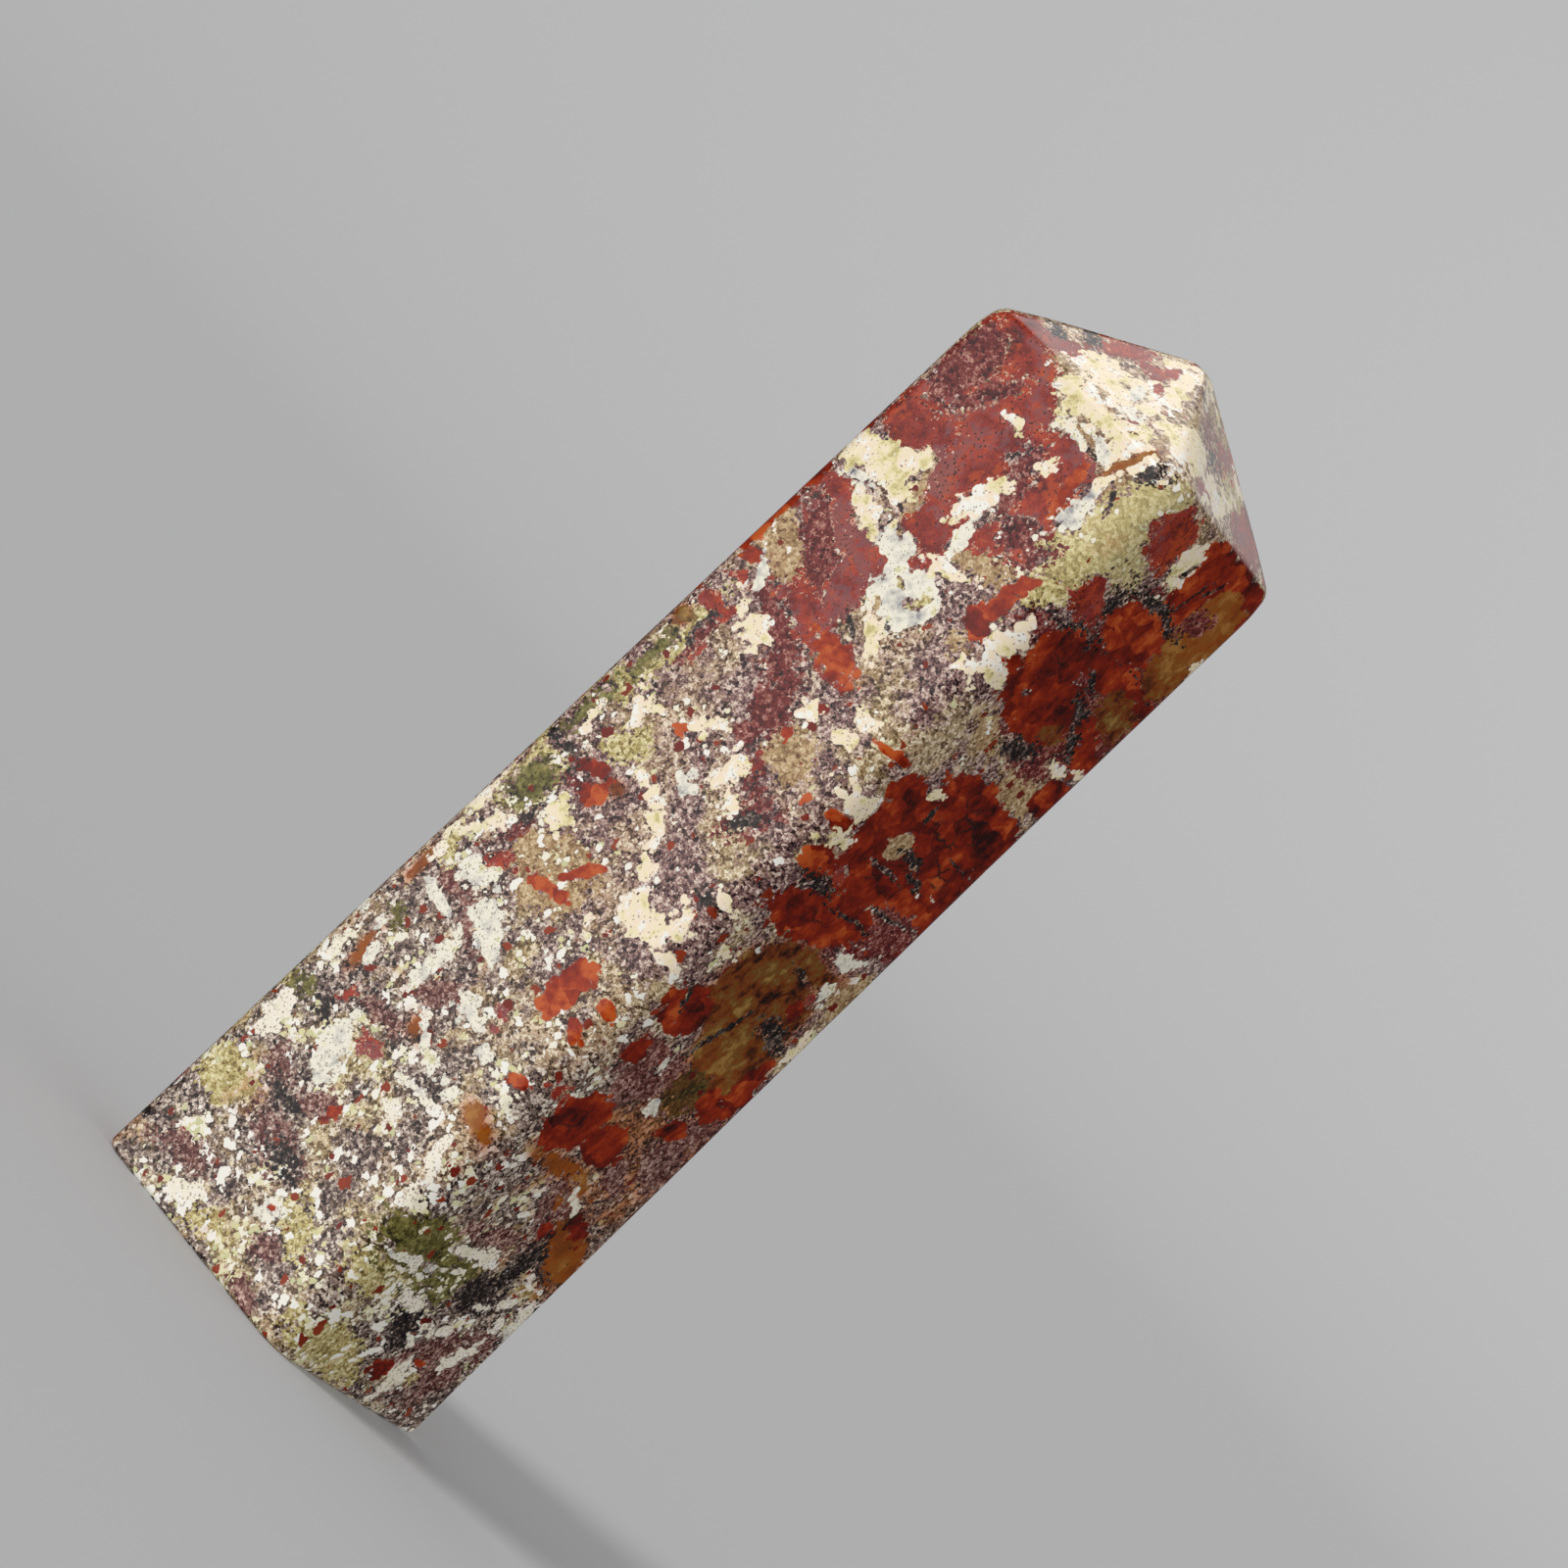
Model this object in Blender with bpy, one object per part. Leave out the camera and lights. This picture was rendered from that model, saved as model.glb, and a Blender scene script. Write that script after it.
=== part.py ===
"""A polished four-sided stone tower with a low pyramid tip, standing on its flat sawn base.

The tower is one piece of stone. Its origin is the middle of the base, +Z runs up the axis,
and its four long faces look along +X, -X, +Y and -Y. Metres throughout.
"""

import math

import bmesh
import bpy

MM = 0.001

# Driving dimensions, flat to flat across the stone, and heights above the base
HEIGHT = 100.0 * MM
SHOULDER_HEIGHT = 92.0 * MM
BASE_SIDE = 24.2 * MM
SHOULDER_SIDE = 23.6 * MM

# The tip was ground by hand, so its point stands a little off the axis
POINT_OFF_AXIS = (-0.69 * MM, -0.40 * MM)

# Softness that polishing gave to the edges
UPRIGHT_EDGE_RADIUS = 2.6 * MM
BASE_EDGE_RADIUS = 0.5 * MM
SHOULDER_EDGE_RADIUS = 1.4 * MM
POINT_RADIUS = 2.0 * MM
SHOULDER_CORNER_EXTRA = 0.35
SHOULDER_CORNER_REACH = 1.5 * MM

# The upright edge between +X and +Y stayed crisper, most of all at the foot
CRISP_EDGE_RADIUS = 2.1 * MM
CRISP_EDGE_RADIUS_AT_FOOT = 0.5 * MM
CRISP_EDGE_HEIGHT = 62.0 * MM

# The neck, where the upright edges start to soften towards the shoulder, in reaches below it
NECK_REACHES = 3.0

# Fineness of the mesh
STEPS_PER_SIDE = 5
STEPS_PER_CORNER = 9
STEPS_PER_FILLET = 6
BODY_RINGS = 6
NECK_RINGS = 7
TIP_RINGS = 7

STONE_NAME = "agate_tower"
STONE_COLOUR = (0.30, 0.14, 0.10, 1.0)
STONE_ROUGHNESS = 0.12


def clear_scene():
    """Remove every object that the file holds."""
    for scene_object in list(bpy.data.objects):
        bpy.data.objects.remove(scene_object, do_unlink=True)


def tip_slope():
    """Angle of the tip's faces above level, found so that the rounded point is at HEIGHT.

    Rounding a point of slope s with radius r lowers it by r (1 / cos s - 1), so the sharp
    point stands that much higher, and the slope follows from it after a few repeats.
    """
    rise = HEIGHT - SHOULDER_HEIGHT
    slope = math.atan2(rise, SHOULDER_SIDE / 2)
    for _ in range(20):
        lowered = POINT_RADIUS * (1 / math.cos(slope) - 1)
        slope = math.atan2(rise + lowered, SHOULDER_SIDE / 2)
    return slope


def arc(centre, radius, start, end, steps):
    """Points (half width, height) along an arc from angle start to angle end."""
    angles = [start + (end - start) * step / steps for step in range(steps + 1)]
    return [(centre[0] + radius * math.cos(a), centre[1] + radius * math.sin(a)) for a in angles]


def between(start, end, count):
    """Count points evenly spaced inside the line from start to end."""
    shares = [(step + 1) / (count + 1) for step in range(count)]
    return [
        (start[0] + (end[0] - start[0]) * share, start[1] + (end[1] - start[1]) * share)
        for share in shares
    ]


def side_profile():
    """Half width against height, from the rim of the flat base up to the edge of the point.

    Three straight runs, the base, the side that leans in, and the tip's face, are joined by
    arcs that touch both neighbours. Rings stand closer in the neck, where the edges soften.
    """
    slope = tip_slope()
    half_base = BASE_SIDE / 2
    half_shoulder = SHOULDER_SIDE / 2
    lean = math.atan2(half_base - half_shoulder, SHOULDER_HEIGHT)

    base_setback = BASE_EDGE_RADIUS * math.tan((math.pi / 2 + lean) / 2)
    base_centre = (half_base - base_setback, BASE_EDGE_RADIUS)
    base_arc = arc(base_centre, BASE_EDGE_RADIUS, -math.pi / 2, lean, STEPS_PER_FILLET)

    tip_normal = math.pi / 2 - slope
    turn = tip_normal - lean
    shoulder_setback = SHOULDER_EDGE_RADIUS * math.tan(turn / 2)
    touch_x = half_shoulder + shoulder_setback * math.sin(lean)
    touch_z = SHOULDER_HEIGHT - shoulder_setback * math.cos(lean)
    shoulder_centre = (
        touch_x - SHOULDER_EDGE_RADIUS * math.cos(lean),
        touch_z - SHOULDER_EDGE_RADIUS * math.sin(lean),
    )
    shoulder_arc = arc(shoulder_centre, SHOULDER_EDGE_RADIUS, lean, tip_normal, STEPS_PER_FILLET)

    point_centre = (0.0, HEIGHT - POINT_RADIUS)
    point_arc = arc(point_centre, POINT_RADIUS, tip_normal, math.pi / 2, STEPS_PER_FILLET)

    neck_height = SHOULDER_HEIGHT - NECK_REACHES * SHOULDER_CORNER_REACH
    neck_share = neck_height / SHOULDER_HEIGHT
    neck_foot = (half_base + (half_shoulder - half_base) * neck_share, neck_height)
    body = between(base_arc[-1], neck_foot, BODY_RINGS)
    neck = between(neck_foot, shoulder_arc[0], NECK_RINGS)
    tip = between(shoulder_arc[-1], point_arc[0], TIP_RINGS)
    return base_arc + body + [neck_foot] + neck + shoulder_arc + tip + point_arc[:-1]


def corner_shares(height):
    """Radii of the four upright edges as shares of the half width, from the +X +Y edge on.

    That crisp edge's radius grows evenly from the foot up. All four get a little more at the
    shoulder.
    """
    growth = min(1.0, height / CRISP_EDGE_HEIGHT)
    crisp = CRISP_EDGE_RADIUS_AT_FOOT + (CRISP_EDGE_RADIUS - CRISP_EDGE_RADIUS_AT_FOOT) * growth
    away = (height - SHOULDER_HEIGHT) / SHOULDER_CORNER_REACH
    softening = 1 + SHOULDER_CORNER_EXTRA * math.exp(-away * away)
    radii = (crisp, UPRIGHT_EDGE_RADIUS, UPRIGHT_EDGE_RADIUS, UPRIGHT_EDGE_RADIUS)
    return [radius / (SHOULDER_SIDE / 2) * softening for radius in radii]


def point_shift(height):
    """How far a ring's middle is off the axis: none on the body, then evenly up to the point."""
    share = max(0.0, (height - SHOULDER_HEIGHT) / (HEIGHT - SHOULDER_HEIGHT))
    return POINT_OFF_AXIS[0] * share, POINT_OFF_AXIS[1] * share


def ring(half_width, height):
    """Points of a level rounded square, counter-clockwise from the +X face.

    Each quarter is one straight side, from where the edge before it ends, and one round edge.
    """
    shares = corner_shares(height)
    shift_x, shift_y = point_shift(height)
    corners = []
    for turn in range(4):
        share = shares[turn]
        start = shares[turn - 1] - 1
        flat = 1 - share
        quarter = []
        for step in range(STEPS_PER_SIDE):
            quarter.append((1.0, start + (flat - start) * step / STEPS_PER_SIDE))
        for step in range(STEPS_PER_CORNER):
            angle = math.pi / 2 * step / STEPS_PER_CORNER
            quarter.append((flat + share * math.cos(angle), flat + share * math.sin(angle)))
        cosine = round(math.cos(turn * math.pi / 2))
        sine = round(math.sin(turn * math.pi / 2))
        for x, y in quarter:
            across = half_width * (x * cosine - y * sine) + shift_x
            along = half_width * (x * sine + y * cosine) + shift_y
            corners.append((across, along, height))
    return corners


def build_stone():
    """Skin the stone over its rings, and close it with the flat base and the rounded point."""
    shape = bmesh.new()
    rings = []
    for half_width, height in side_profile():
        rings.append([shape.verts.new(corner) for corner in ring(half_width, height)])
    around = len(rings[0])
    for lower, upper in zip(rings, rings[1:]):
        for step in range(around):
            after = (step + 1) % around
            shape.faces.new((lower[step], lower[after], upper[after], upper[step]))

    base_middle = shape.verts.new((0.0, 0.0, 0.0))
    point = shape.verts.new((*point_shift(HEIGHT), HEIGHT))
    for step in range(around):
        after = (step + 1) % around
        shape.faces.new((base_middle, rings[0][after], rings[0][step]))
        shape.faces.new((point, rings[-1][step], rings[-1][after]))

    mesh = bpy.data.meshes.new(STONE_NAME)
    shape.to_mesh(mesh)
    shape.free()
    mesh.shade_smooth()
    mesh.set_sharp_from_angle(angle=math.radians(40))
    return mesh


def stone_material():
    """Polished stone in the tower's average red brown."""
    material = bpy.data.materials.new("polished_stone")
    material.use_nodes = True
    surface = material.node_tree.nodes["Principled BSDF"]
    surface.inputs["Base Color"].default_value = STONE_COLOUR
    surface.inputs["Roughness"].default_value = STONE_ROUGHNESS
    surface.inputs["Metallic"].default_value = 0.0
    material.diffuse_color = STONE_COLOUR
    return material


def main():
    """Build the tower in an empty scene."""
    clear_scene()
    mesh = build_stone()
    mesh.materials.append(stone_material())
    tower = bpy.data.objects.new(STONE_NAME, mesh)
    bpy.context.scene.collection.objects.link(tower)


main()
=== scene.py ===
"""Looks of a polished red moss agate tower: its stone surface, markings, studio and camera.

Sizes on the stone are in millimetres and are turned to metres where a mesh or node needs them.
A place on the stone is given by a long face, by how far it is across that face from its middle,
to the right as seen from outside, and by its height above the base.
"""

import logging
import math
from dataclasses import dataclass, field
from enum import Enum
from typing import Union

import bpy
import numpy as np
from mathutils import Matrix, Vector


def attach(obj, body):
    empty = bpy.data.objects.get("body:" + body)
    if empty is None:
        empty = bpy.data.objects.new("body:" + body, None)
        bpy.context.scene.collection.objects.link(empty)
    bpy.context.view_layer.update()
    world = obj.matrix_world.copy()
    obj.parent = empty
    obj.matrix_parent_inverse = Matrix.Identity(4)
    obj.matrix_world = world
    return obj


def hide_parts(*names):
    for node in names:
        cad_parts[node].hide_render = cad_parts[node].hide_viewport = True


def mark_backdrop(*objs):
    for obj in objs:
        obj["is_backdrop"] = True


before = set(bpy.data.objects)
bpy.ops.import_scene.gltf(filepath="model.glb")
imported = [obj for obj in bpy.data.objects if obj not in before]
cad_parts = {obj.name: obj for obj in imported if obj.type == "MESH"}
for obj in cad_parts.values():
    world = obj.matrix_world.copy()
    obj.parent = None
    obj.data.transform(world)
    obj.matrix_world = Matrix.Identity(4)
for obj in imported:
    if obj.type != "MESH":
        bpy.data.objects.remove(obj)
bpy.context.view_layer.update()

LOG = logging.getLogger("agate_tower")
MM = 0.001

Colour = tuple[int, int, int]
Palette = tuple[tuple[float, Colour], ...]
Socket = bpy.types.NodeSocket
Sockets = dict[str, Socket]
Value = Union[float, tuple, Socket]


class Face(Enum):
    """The long faces, as (way across to the right, way out of the face)."""

    LEFT = ((1.0, 0.0, 0.0), (0.0, -1.0, 0.0))
    RIGHT = ((0.0, 1.0, 0.0), (1.0, 0.0, 0.0))
    FAR_RIGHT = ((-1.0, 0.0, 0.0), (0.0, 1.0, 0.0))
    FAR_LEFT = ((0.0, -1.0, 0.0), (-1.0, 0.0, 0.0))


class Mineral(Enum):
    """What the stone is made of, as (mesh attribute, component of it)."""

    BRICK = ("reds", 0)
    MAROON = ("reds", 1)
    FIRE = ("reds", 2)
    CREAM = ("pales", 0)
    WHITE = ("pales", 1)
    TAN = ("pales", 2)
    OLIVE = ("earths", 0)
    MOSS = ("earths", 1)
    AMBER = ("earths", 2)
    SMOKE = ("moods", 0)


BRICK, MAROON, FIRE = Mineral.BRICK, Mineral.MAROON, Mineral.FIRE
CREAM, WHITE, TAN = Mineral.CREAM, Mineral.WHITE, Mineral.TAN
OLIVE, MOSS, AMBER, SMOKE = Mineral.OLIVE, Mineral.MOSS, Mineral.AMBER, Mineral.SMOKE
ATTRIBUTES = ("reds", "pales", "earths", "moods", "tints")


def linear(colour: Colour) -> tuple[float, float, float, float]:
    """Turn a display colour into the linear one that shaders use.

    Args:
        colour: Red, green and blue from 0 to 255.

    Returns:
        The linear colour with full alpha.
    """
    shares = [part / 255 for part in colour]
    parts = [s / 12.92 if s <= 0.04045 else ((s + 0.055) / 1.055) ** 2.4 for s in shares]
    return (*parts, 1.0)


@dataclass(frozen=True)
class LatticeNoise:
    """Smooth noise in space, from fixed values on a cubic lattice."""

    wavelength: float
    seed: int

    def corner_values(self, cells: np.ndarray) -> np.ndarray:
        """Give each lattice point a fixed value from -1 to 1, mixed from its whole numbers.

        Args:
            cells: Whole lattice coordinates, one row for each point.

        Returns:
            One value for each row.
        """
        whole = cells.astype(np.int64)
        mixed = whole[:, 0] * 73856093 ^ whole[:, 1] * 19349663 ^ whole[:, 2] * 83492791
        mixed = (mixed ^ self.seed * 2654435761) & 0xFFFFFFFF
        mixed = ((mixed ^ mixed >> 13) * 1274126177) & 0xFFFFFFFF
        mixed = ((mixed ^ mixed >> 16) * 2246822519) & 0xFFFFFFFF
        return (mixed ^ mixed >> 15) / 0xFFFFFFFF * 2 - 1

    def sample(self, points: np.ndarray) -> np.ndarray:
        """Blend the eight corners round each point with eased shares, s s (3 - 2 s) per axis.

        Args:
            points: Places in millimetres, one row for each.

        Returns:
            One value from -1 to 1 for each row.
        """
        scaled = points / self.wavelength
        cells = np.floor(scaled)
        share = scaled - cells
        eased = share * share * (3 - 2 * share)
        total = np.zeros(len(points))
        for corner in np.ndindex(2, 2, 2):
            weight = np.prod(np.where(corner, eased, 1 - eased), axis=1)
            total += weight * self.corner_values(cells + corner)
        return total


def link(made: bpy.types.Object) -> bpy.types.Object:
    """Put an object into the scene."""
    bpy.context.scene.collection.objects.link(made)
    return made


def ring_points(x: np.ndarray, y: np.ndarray, height: np.ndarray) -> np.ndarray:
    """Rows of (x, y, z) of all rings' points, from grids of x and y and each ring's height."""
    return np.stack((x, y, np.broadcast_to(height[:, None], x.shape)), axis=-1).reshape(-1, 3)


def ring_squares(rings: int, columns: int) -> np.ndarray:
    """Point numbers of the squares between rings, counter-clockwise as seen from outside."""
    ring = np.arange(columns)
    after = (ring + 1) % columns
    low = (np.arange(rings - 1) * columns)[:, None]
    corners = (low + ring, low + after, low + columns + after, low + columns + ring)
    return np.stack(corners, axis=-1).reshape(-1, 4)


def smooth_object(name: str, points: np.ndarray, faces: list[list[int]]) -> bpy.types.Object:
    """Make a smooth mesh object and put it into the scene.

    Args:
        name: Name of the object and its mesh.
        points: Rows of (x, y, z) in metres.
        faces: Point numbers of each face.

    Returns:
        The object.
    """
    mesh = bpy.data.meshes.new(name)
    mesh.from_pydata(points.tolist(), [], faces)
    mesh.update()
    mesh.shade_smooth()
    return link(bpy.data.objects.new(name, mesh))


@dataclass(frozen=True)
class TowerShape:
    """Sizes of the tower, as its CAD solid has them, in millimetres."""

    height: float = 100.0
    shoulder_height: float = 92.0
    base_side: float = 24.2
    shoulder_side: float = 23.6
    point_off_axis: tuple[float, float] = (-0.69, -0.40)
    upright_edge_radius: float = 2.6
    crisp_edge_radius: float = 2.1
    crisp_edge_radius_at_foot: float = 0.5
    crisp_edge_height: float = 62.0
    base_edge_radius: float = 0.5
    shoulder_edge_radius: float = 1.4
    point_radius: float = 2.0
    shoulder_corner_extra: float = 0.35
    shoulder_corner_reach: float = 1.5
    hand_polish_depth: float = 0.035
    sharp_angle: float = 40.0
    side_columns: int = 60
    corner_columns: int = 12
    body_rings: int = 262
    tip_rings: int = 28
    fillet_rings: int = 8
    base_rings: int = 12

    def tip_slope(self) -> float:
        """Angle of the tip's faces above level, which puts the rounded point at full height."""
        rise = self.height - self.shoulder_height
        slope = math.atan2(rise, self.shoulder_side / 2)
        for _ in range(20):
            lowered = self.point_radius * (1 / math.cos(slope) - 1)
            slope = math.atan2(rise + lowered, self.shoulder_side / 2)
        return slope

    def profile(self) -> np.ndarray:
        """Half width against height, from the middle of the base up to just below the point.

        Straight runs for the base, the side and the tip's face are joined by arcs, whose
        points are centre plus radius times (cosine, sine).

        Returns:
            Rows of (half width, height).
        """
        slope = self.tip_slope()
        half_base = self.base_side / 2
        half_shoulder = self.shoulder_side / 2
        lean = math.atan2(half_base - half_shoulder, self.shoulder_height)
        tip_normal = math.pi / 2 - slope

        def arc(centre: tuple[float, float], radius: float, start: float, end: float) -> np.ndarray:
            """Points along one fillet."""
            turn = np.linspace(start, end, self.fillet_rings + 1)
            return np.column_stack(
                (centre[0] + radius * np.cos(turn), centre[1] + radius * np.sin(turn))
            )

        base_setback = self.base_edge_radius * math.tan((math.pi / 2 + lean) / 2)
        base_rim = half_base - base_setback
        base_arc = arc((base_rim, self.base_edge_radius), self.base_edge_radius, -math.pi / 2, lean)
        setback = self.shoulder_edge_radius * math.tan((tip_normal - lean) / 2)
        shoulder_centre = (
            half_shoulder + setback * math.sin(lean) - self.shoulder_edge_radius * math.cos(lean),
            self.shoulder_height
            - setback * math.cos(lean)
            - self.shoulder_edge_radius * math.sin(lean),
        )
        shoulder_arc = arc(shoulder_centre, self.shoulder_edge_radius, lean, tip_normal)
        point_centre = (0.0, self.height - self.point_radius)
        point_arc = arc(point_centre, self.point_radius, tip_normal, math.pi / 2)

        base = np.column_stack(
            (np.linspace(0, base_rim, self.base_rings + 1)[1:-1], np.zeros(self.base_rings - 1))
        )
        body = np.linspace(base_arc[-1], shoulder_arc[0], self.body_rings + 2)[1:-1]
        tip = np.linspace(shoulder_arc[-1], point_arc[0], self.tip_rings + 2)[1:-1]
        return np.vstack((base, base_arc, body, shoulder_arc, tip, point_arc[:-1]))

    def corner_shares(self, height: np.ndarray) -> np.ndarray:
        """Radii of the upright edges as shares of the half width, from the +X +Y edge on.

        That crisp edge's radius grows evenly from the foot up. All four get a little more at
        the shoulder, by 1 + extra times exp of -(distance / reach) squared.

        Args:
            height: Height of each ring.

        Returns:
            Four shares for each ring.
        """
        growth = np.clip(height / self.crisp_edge_height, 0, 1)
        crisp = self.crisp_edge_radius_at_foot * (1 - growth) + self.crisp_edge_radius * growth
        away = (height - self.shoulder_height) / self.shoulder_corner_reach
        softening = 1 + self.shoulder_corner_extra * np.exp(-(away**2))
        plain = np.full_like(height, self.upright_edge_radius)
        radii = np.column_stack((crisp, plain, plain, plain))
        return radii / (self.shoulder_side / 2) * softening[:, None]

    def outline(self, shares: np.ndarray) -> tuple[np.ndarray, np.ndarray]:
        """Level rounded squares of half width 1, one row for each ring.

        A quarter is the line x = 1 from y = b - 1 to 1 - c, where b is the corner share
        before it and c its own, then an arc of radius c round (1 - c, 1 - c). Each quarter
        is turned by a right angle more than the last.

        Args:
            shares: The four corner shares of each ring.

        Returns:
            The x and the y of each ring's points.
        """
        along = np.linspace(0, 1, self.side_columns, endpoint=False)[None, :]
        turn = np.linspace(0, math.pi / 2, self.corner_columns, endpoint=False)[None, :]
        xs, ys = [], []
        for quarter in range(4):
            share, flat = shares[:, quarter, None], 1 - shares[:, quarter, None]
            start = shares[:, quarter - 1, None] - 1
            line = start + (flat - start) * along
            x = np.hstack((np.ones_like(line), flat + share * np.cos(turn)))
            y = np.hstack((line, flat + share * np.sin(turn)))
            for _ in range(quarter):
                x, y = -y, x
            xs.append(x)
            ys.append(y)
        return np.hstack(xs), np.hstack(ys)

    def half_width(self, height: float) -> float:
        """Half of the stone's width at a height, with the edges taken as sharp."""
        if height <= self.shoulder_height:
            share = height / self.shoulder_height
            return (self.base_side + (self.shoulder_side - self.base_side) * share) / 2
        rise = self.shoulder_side / 2 * math.tan(self.tip_slope())
        return self.shoulder_side / 2 * max(0.0, 1 - (height - self.shoulder_height) / rise)

    def shift(self, height: np.ndarray) -> tuple[np.ndarray, np.ndarray]:
        """How far the middle of a ring is off the axis: evenly more from shoulder to point."""
        share = (height - self.shoulder_height) / (self.height - self.shoulder_height)
        share = np.clip(share, 0, None)
        return self.point_off_axis[0] * share, self.point_off_axis[1] * share

    def points(self) -> np.ndarray:
        """Places of all grid points, ring by ring, then the middle of the base and the point.

        Each ring is its outline times its half width. The hand polish draws a ring in by a
        little noise, times a share that falls to nothing at the base.

        Returns:
            Rows of (x, y, z) in millimetres.
        """
        profile = self.profile()
        half, height = profile[:, 0], profile[:, 1]
        unit_x, unit_y = self.outline(self.corner_shares(height))
        shift_x, shift_y = self.shift(height)
        x = unit_x * half[:, None] + shift_x[:, None]
        y = unit_y * half[:, None] + shift_y[:, None]
        grid = ring_points(x, y, height)
        waves = LatticeNoise(9.0, 3).sample(grid) * 0.7 + LatticeNoise(4.0, 4).sample(grid) * 0.3
        drawn_in = self.hand_polish_depth * (waves - 1) * np.clip(grid[:, 2] / 5, 0, 1)
        reach = np.maximum(np.hypot(grid[:, 0], grid[:, 1]), 1.0)
        grid[:, :2] *= (1 + drawn_in / reach)[:, None]
        top_x, top_y = self.shift(np.array(self.height))
        ends = np.array([[0.0, 0.0, 0.0], [float(top_x), float(top_y), self.height]])
        return np.vstack((grid, ends))

    def faces(self, rings: int, columns: int) -> list[list[int]]:
        """Corners of all faces: squares between rings, and fans to the two end points.

        Args:
            rings: How many rings the grid has.
            columns: How many points each ring has.

        Returns:
            Point numbers of each face, counter-clockwise from outside.
        """
        ring = np.arange(columns)
        after = (ring + 1) % columns
        base_middle = np.full(columns, rings * columns)
        top = (rings - 1) * columns
        base_fan = np.column_stack((base_middle, after, ring))
        tip_fan = np.column_stack((base_middle + 1, top + ring, top + after))
        squares = ring_squares(rings, columns)
        return squares.tolist() + base_fan.tolist() + tip_fan.tolist()

    def build(self, name: str) -> tuple[bpy.types.Object, np.ndarray]:
        """Make the tower's mesh object.

        Args:
            name: Name of the object.

        Returns:
            The object, and its points in millimetres.
        """
        points = self.points()
        columns = 4 * (self.side_columns + self.corner_columns)
        rings = (len(points) - 2) // columns
        tower = smooth_object(name, points * MM, self.faces(rings, columns))
        tower.data.set_sharp_from_angle(angle=math.radians(self.sharp_angle))
        return tower, points


@dataclass(frozen=True)
class Patch:
    """A lens-shaped body of one mineral that reaches the surface of a face.

    Across and height place its middle. Long and wide are its half lengths along and across
    its own long axis, which is turned by tilt degrees from level, counter-clockwise as seen
    from outside. Deep is how far it goes into the stone.
    """

    mineral: Mineral
    across: float
    height: float
    long: float
    wide: float
    tilt: float = 0.0
    deep: float = 2.2
    least_strength: float = 0.7
    depth_per_width: float = 0.8

    def depth_inside(self, face: Face, shape: TowerShape, points: np.ndarray) -> np.ndarray:
        """How far inside the patch each point is: (1 - distance in half lengths) times wide.
        In the middle it is at least the least strength, so that thin patches stand up to their
        ragged edges.

        Args:
            face: The face that the patch is placed on.
            shape: The stone, for where that face lies.
            points: Places in millimetres.

        Returns:
            Millimetres for each point, below zero outside the patch.
        """
        across_way, out_way = np.array(face.value[0]), np.array(face.value[1])
        middle = across_way * self.across + out_way * shape.half_width(self.height)
        shift_x, shift_y = shape.shift(np.array(self.height))
        middle = middle + np.array([float(shift_x), float(shift_y), self.height])
        away = points - middle
        across, up, out = away @ across_way, away[:, 2], away @ out_way
        cosine, sine = math.cos(math.radians(self.tilt)), math.sin(math.radians(self.tilt))
        lengthwise = (across * cosine + up * sine) / self.long
        crosswise = (up * cosine - across * sine) / self.wide
        inward = out / max(self.deep, self.wide * self.depth_per_width)
        distance = np.sqrt(lengthwise**2 + crosswise**2 + inward**2)
        return (1 - distance) * max(self.least_strength, min(self.wide, self.long))


def placed(*runs: tuple) -> tuple[Patch, ...]:
    """Turn runs of (mineral, place and size, place and size ...) into patches, in their order."""
    return tuple(Patch(mineral, *sizes) for mineral, *bodies in runs for sizes in bodies)


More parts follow.
